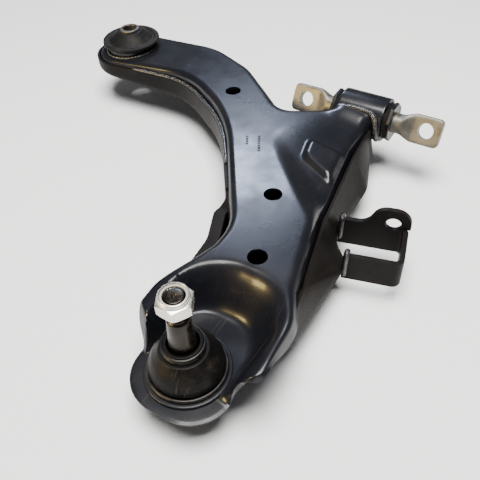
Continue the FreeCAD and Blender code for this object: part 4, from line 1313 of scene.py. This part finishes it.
class ARM_OT_boot(bpy.types.Operator):
    """Mould the dust boot in two stretches and the rings that hold its foot and neck."""

    bl_idname = "arm.boot"
    bl_label = "Dust Boot"

    def execute(self, context):
        wall = context.scene.arm_joint.boot_wall
        centre = (BALL_AXIS.x, BALL_AXIS.y, 0)
        skin = material(boot_skin)
        girth, split = BOOT_SPLIT
        skirt = rounded([
            (24.7 - wall, -20, 0.5), (24.7, -20, 0.4), (24.7, -16.8, 0.5), (25.4, -15.6, 1.0),
            (25.2, -11.5, 6), (23.3, -6.4, 5), (girth, split, 0.02), (girth - wall, split, 0.02),
            (25.2 - wall, -12.0, 5), (24.7 - wall, -16.5, 1.5)])
        low = make_piece("boot_skirt", spun(skirt, centre, steps=120), None, skin,
                         ["dust_boot"])
        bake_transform(low)
        neck = rounded([
            (girth - wall, split, 0.02), (girth, split, 0.02), (21.6, -3.5, 6), (16.4, 2.9, 1.4),
            (13.6, 2.9, 0.5), (13.2, 3.4, 0.3), (13.2, 9.0, 0.9), (10.6, 9.0, 0.6), (10.2, 5.0, 0.8),
            (13.0, 1.2, 1.2), (19.6 - wall, -1.4, 3)])
        high = make_piece("boot_neck", spun(neck, centre, steps=120), None, skin,
                          ["dust_boot"])
        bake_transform(high)
        wire = 1.3
        turns = np.linspace(0, 2 * math.pi, 17)[:-1]
        ring = [(26.2 + wire * math.cos(a), -18.5 + wire * math.sin(a)) for a in turns]
        steel = material(ring_steel)
        make_piece("boot_foot_ring", spun(ring, centre, steps=120), "arm", steel,
                   ["boot_base_ring"])
        band = []
        for coil in range(3):
            middle = 4.35 + coil * 1.7
            band += [(14.35, middle - 0.5, 0.1), (14.35, middle + 0.5, 0.1),
                     (13.95, middle + 0.85, 0.1)]
        band = [(13.3, 3.5, 0.2), (14.0, 3.5, 0.2)] + band[:-1] + [(13.3, 8.6, 0.2)]
        make_piece("boot_neck_band", spun(rounded(band, 0.4), centre), "neck_ring", steel,
                   ["boot_neck_ring"])
        return {"FINISHED"}

    def at(self, z):
        """A point on the ball joint's axis, in metres."""
        return BALL_AXIS.x * MM, BALL_AXIS.y * MM, z * MM


class ARM_OT_stud(bpy.types.Operator):
    """Turn the ball stud: ball, neck, boot land, taper and thread."""

    bl_idname = "arm.stud"
    bl_label = "Ball Stud"

    def execute(self, context):
        pitch = context.scene.arm_joint.thread_pitch
        ball = [(15 * math.sin(a), -34 - 15 * math.cos(a)) for a in np.linspace(0.002, math.pi - 0.52, 28)]
        shank = [(7.0, -18.5), (7.0, -8), (7.4, -5), (8.8, 2.2), (9.25, 3.6), (9.3, 4.4), (9.3, 8.6),
                 (9.1, 9.6), (8.3, 21), (7.42, TAPER_TOP - 0.4), (7.1, TAPER_TOP + 0.4),
                 (6.1, TAPER_TOP + 1.2), (6.1, TAPER_TOP + 2.0)]
        thread = []
        first = TAPER_TOP + 2.2
        for index in range(int((STUD_TOP - 1.6 - first) / pitch)):
            start = first + index * pitch
            thread += [(6.15, start), (6.9, start + pitch * 0.42), (6.9, start + pitch * 0.58),
                       (6.15, start + pitch * 0.98)]
        top = STUD_TOP
        end = [(6.3, top - 1.4), (5.75, top - 0.1), (5.5, top), (1.9, top), (0.9, top - 1.0),
               (0.002, top - 1.4)]
        profile = ball + shank + thread + end
        make_piece("stud", spun(profile, (BALL_AXIS.x, BALL_AXIS.y, 0), steps=80), "stud",
                   material(stud_steel), ["ball_stud"])
        return {"FINISHED"}


class ARM_OT_nut(bpy.types.Operator):
    """Make the lock nut: a chamfered hexagon with a rolled collar and its locking ring."""

    bl_idname = "arm.nut"
    bl_label = "Lock Nut"

    turn: bpy.props.FloatProperty(name="Turn", description="Turn of the hexagon about the stud",
                                  default=math.radians(-2.7), subtype="ANGLE")

    def execute(self, context):
        centre = Vector((BALL_AXIS.x, BALL_AXIS.y, 0))
        low, high = NUT_LOW, NUT_TOP
        bm = bmesh.new()
        made = bmesh.ops.create_cone(bm, cap_ends=True, segments=6, radius1=NUT_FLATS / math.sqrt(3),
                                     radius2=NUT_FLATS / math.sqrt(3), depth=high - low)
        half = NUT_FLATS / 2
        place = Matrix.Translation((0, 0, (low + high) / 2)) @ Matrix.Rotation(self.turn, 4, "Z")
        bmesh.ops.transform(bm, matrix=place, verts=made["verts"])
        trim = spun([(NUT_BORE_R, low), (half + 0.2, low), (half + 2, low + 0.9), (half + 2, high - 1.4),
                     (half - 0.5, high), (NUT_BORE_R, high)], (0, 0, 0))
        bm = boolean(bm, trim, "INTERSECT")
        collar = rounded([(NUT_BORE_R, high - 0.4, 0.05), (NUT_COLLAR_R + 0.5, high - 0.4, 0.1),
                          (NUT_COLLAR_R, high + 0.7, 0.6), (NUT_COLLAR_R, NUT_COLLAR_TOP, 1.1),
                          (7.9, NUT_COLLAR_TOP, 0.5), (8.42, NUT_COLLAR_TOP - 0.8, 0.1),
                          (8.42, high + 0.2, 0.1), (NUT_BORE_R, high + 0.2, 0.1)], 0.3)
        bm = merge_in(bm, spun(collar, (0, 0, 0)))
        bmesh.ops.translate(bm, vec=centre, verts=bm.verts)
        nut = make_piece("lock_nut", bm, "stud", material(bright_zinc), ["stud_nut"])
        soften(nut, 0.3)
        top = NUT_COLLAR_TOP - 1.0
        ring = rounded([(NUT_BORE_R, high + 0.3, 0.2), (8.38, high + 0.3, 0.1), (8.38, top, 0.4),
                        (NUT_BORE_R, top, 0.6)], 0.3)
        make_piece("locking_ring", spun(ring, centre), "stud", material(lock_plastic),
                   ["nut_lock_ring"])
        return {"FINISHED"}


class ARM_OT_hidden_parts(bpy.types.Operator):
    """Give the pressed-in cans and the ball's seat their own materials."""

    bl_idname = "arm.hidden_parts"
    bl_label = "Hidden Parts"

    def execute(self, context):
        finishes = {"rear_bush_can": material(sleeve_steel), "front_bush_can": material(sleeve_steel),
                    "ball_seat": material(lock_plastic)}
        for node, finish in finishes.items():
            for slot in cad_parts[node].material_slots:
                slot.material = finish
        return {"FINISHED"}


# ---------------------------------------------------------------------------------------
# Stage
# ---------------------------------------------------------------------------------------
class ARM_OT_stage(bpy.types.Operator):
    """Set up the floor, the soft studio light, the world and the camera."""

    bl_idname = "arm.stage"
    bl_label = "Stage"

    def softbox(self, name, place, aim, size, power, colour, card=False):
        """One rectangular area light that points at a spot; a card shows in reflections only."""
        light = bpy.data.lights.new(name, "AREA")
        light.shape = "RECTANGLE"
        light.size, light.size_y = size
        light.energy = power
        light.color = colour
        holder = bpy.data.objects.new(name, light)
        holder.location = place
        holder.visible_diffuse = not card
        holder.rotation_euler = (Vector(aim) - Vector(place)).to_track_quat("-Z", "Y").to_euler()
        bpy.context.scene.collection.objects.link(holder)

    def execute(self, context):
        props = context.scene.arm_stage
        bm = bmesh.new()
        bmesh.ops.create_grid(bm, x_segments=2, y_segments=2, size=6.0)
        bmesh.ops.translate(bm, vec=(0, 0, CAD_BOX[0][2] - 0.0002), verts=bm.verts)
        mesh = bpy.data.meshes.new("studio_floor")
        bm.to_mesh(mesh)
        bm.free()
        mesh.materials.append(material(studio_floor))
        floor = bpy.data.objects.new("studio_floor", mesh)
        context.scene.collection.objects.link(floor)
        middle = (0.14, 0.19, 0.0)
        self.softbox("back_box", (-0.5, -0.2, 0.62), middle, (0.26, 0.16), 7.2, (0.66, 0.76, 1.0),
                     card=True)
        self.softbox("top_box", (0.3, 0.35, 1.6), middle, (0.9, 0.9), 82, (1.0, 0.99, 0.97))
        self.softbox("side_box", (1.1, -0.4, 0.5), middle, (0.45, 0.3), 24, (1.0, 0.72, 0.28),
                     card=True)
        world = bpy.data.worlds.new("studio_world")
        world.use_nodes = True
        world.node_tree.nodes["Background"].inputs["Color"].default_value = (0.9, 0.92, 0.96, 1)
        world.node_tree.nodes["Background"].inputs["Strength"].default_value = 0.12
        context.scene.world = world
        camera = bpy.data.cameras.new("camera")
        camera.lens = props.lens
        camera.sensor_width = 36
        camera.clip_start = 0.01
        holder = bpy.data.objects.new("camera", camera)
        place = Vector(props.camera_place)
        facing = (Vector(props.camera_aim) - place).to_track_quat("-Z", "Y").to_matrix().to_4x4()
        holder.matrix_world = Matrix.Translation(place) @ facing @ Matrix.Rotation(props.camera_roll, 4, "Z")
        context.scene.collection.objects.link(holder)
        context.scene.camera = holder
        return {"FINISHED"}


# ---------------------------------------------------------------------------------------
# Panel, registration and main
# ---------------------------------------------------------------------------------------
OPERATORS = [
    ARM_OT_upper_shell, ARM_OT_lower_shell, ARM_OT_marks, ARM_OT_welds, ARM_OT_rear_bush, ARM_OT_front_bar,
    ARM_OT_front_bush, ARM_OT_link_strap, ARM_OT_housing, ARM_OT_boot, ARM_OT_stud, ARM_OT_nut,
    ARM_OT_hidden_parts, ARM_OT_stage,
]
PROPERTIES = [
    (ArmPressingProps, "arm_pressing"), (ArmCoatProps, "arm_coat"), (ArmJointProps, "arm_joint"),
    (ArmStageProps, "arm_stage"),
]


class ARM_PT_sidebar(bpy.types.Panel):
    """Lists the arm's settings and the steps that build it."""

    bl_label = "Control Arm"
    bl_idname = "ARM_PT_sidebar"
    bl_space_type = "VIEW_3D"
    bl_region_type = "UI"
    bl_category = "Control Arm"

    def draw(self, context):
        for kind, name in PROPERTIES:
            box = self.layout.box()
            for key in kind.__annotations__:
                box.prop(getattr(context.scene, name), key)
        column = self.layout.column(align=True)
        for operator in OPERATORS:
            column.operator(operator.bl_idname)


def register():
    for kind, name in PROPERTIES:
        bpy.utils.register_class(kind)
        setattr(bpy.types.Scene, name, bpy.props.PointerProperty(type=kind))
    for kind in OPERATORS:
        bpy.utils.register_class(kind)
    bpy.utils.register_class(ARM_PT_sidebar)


def unregister():
    bpy.utils.unregister_class(ARM_PT_sidebar)
    for kind in reversed(OPERATORS):
        bpy.utils.unregister_class(kind)
    for kind, name in reversed(PROPERTIES):
        delattr(bpy.types.Scene, name)
        bpy.utils.unregister_class(kind)


def main():
    register()
    for operator in OPERATORS:
        family, word = operator.bl_idname.split(".")
        getattr(getattr(bpy.ops, family), word)()


if __name__ == "__main__":
    main()
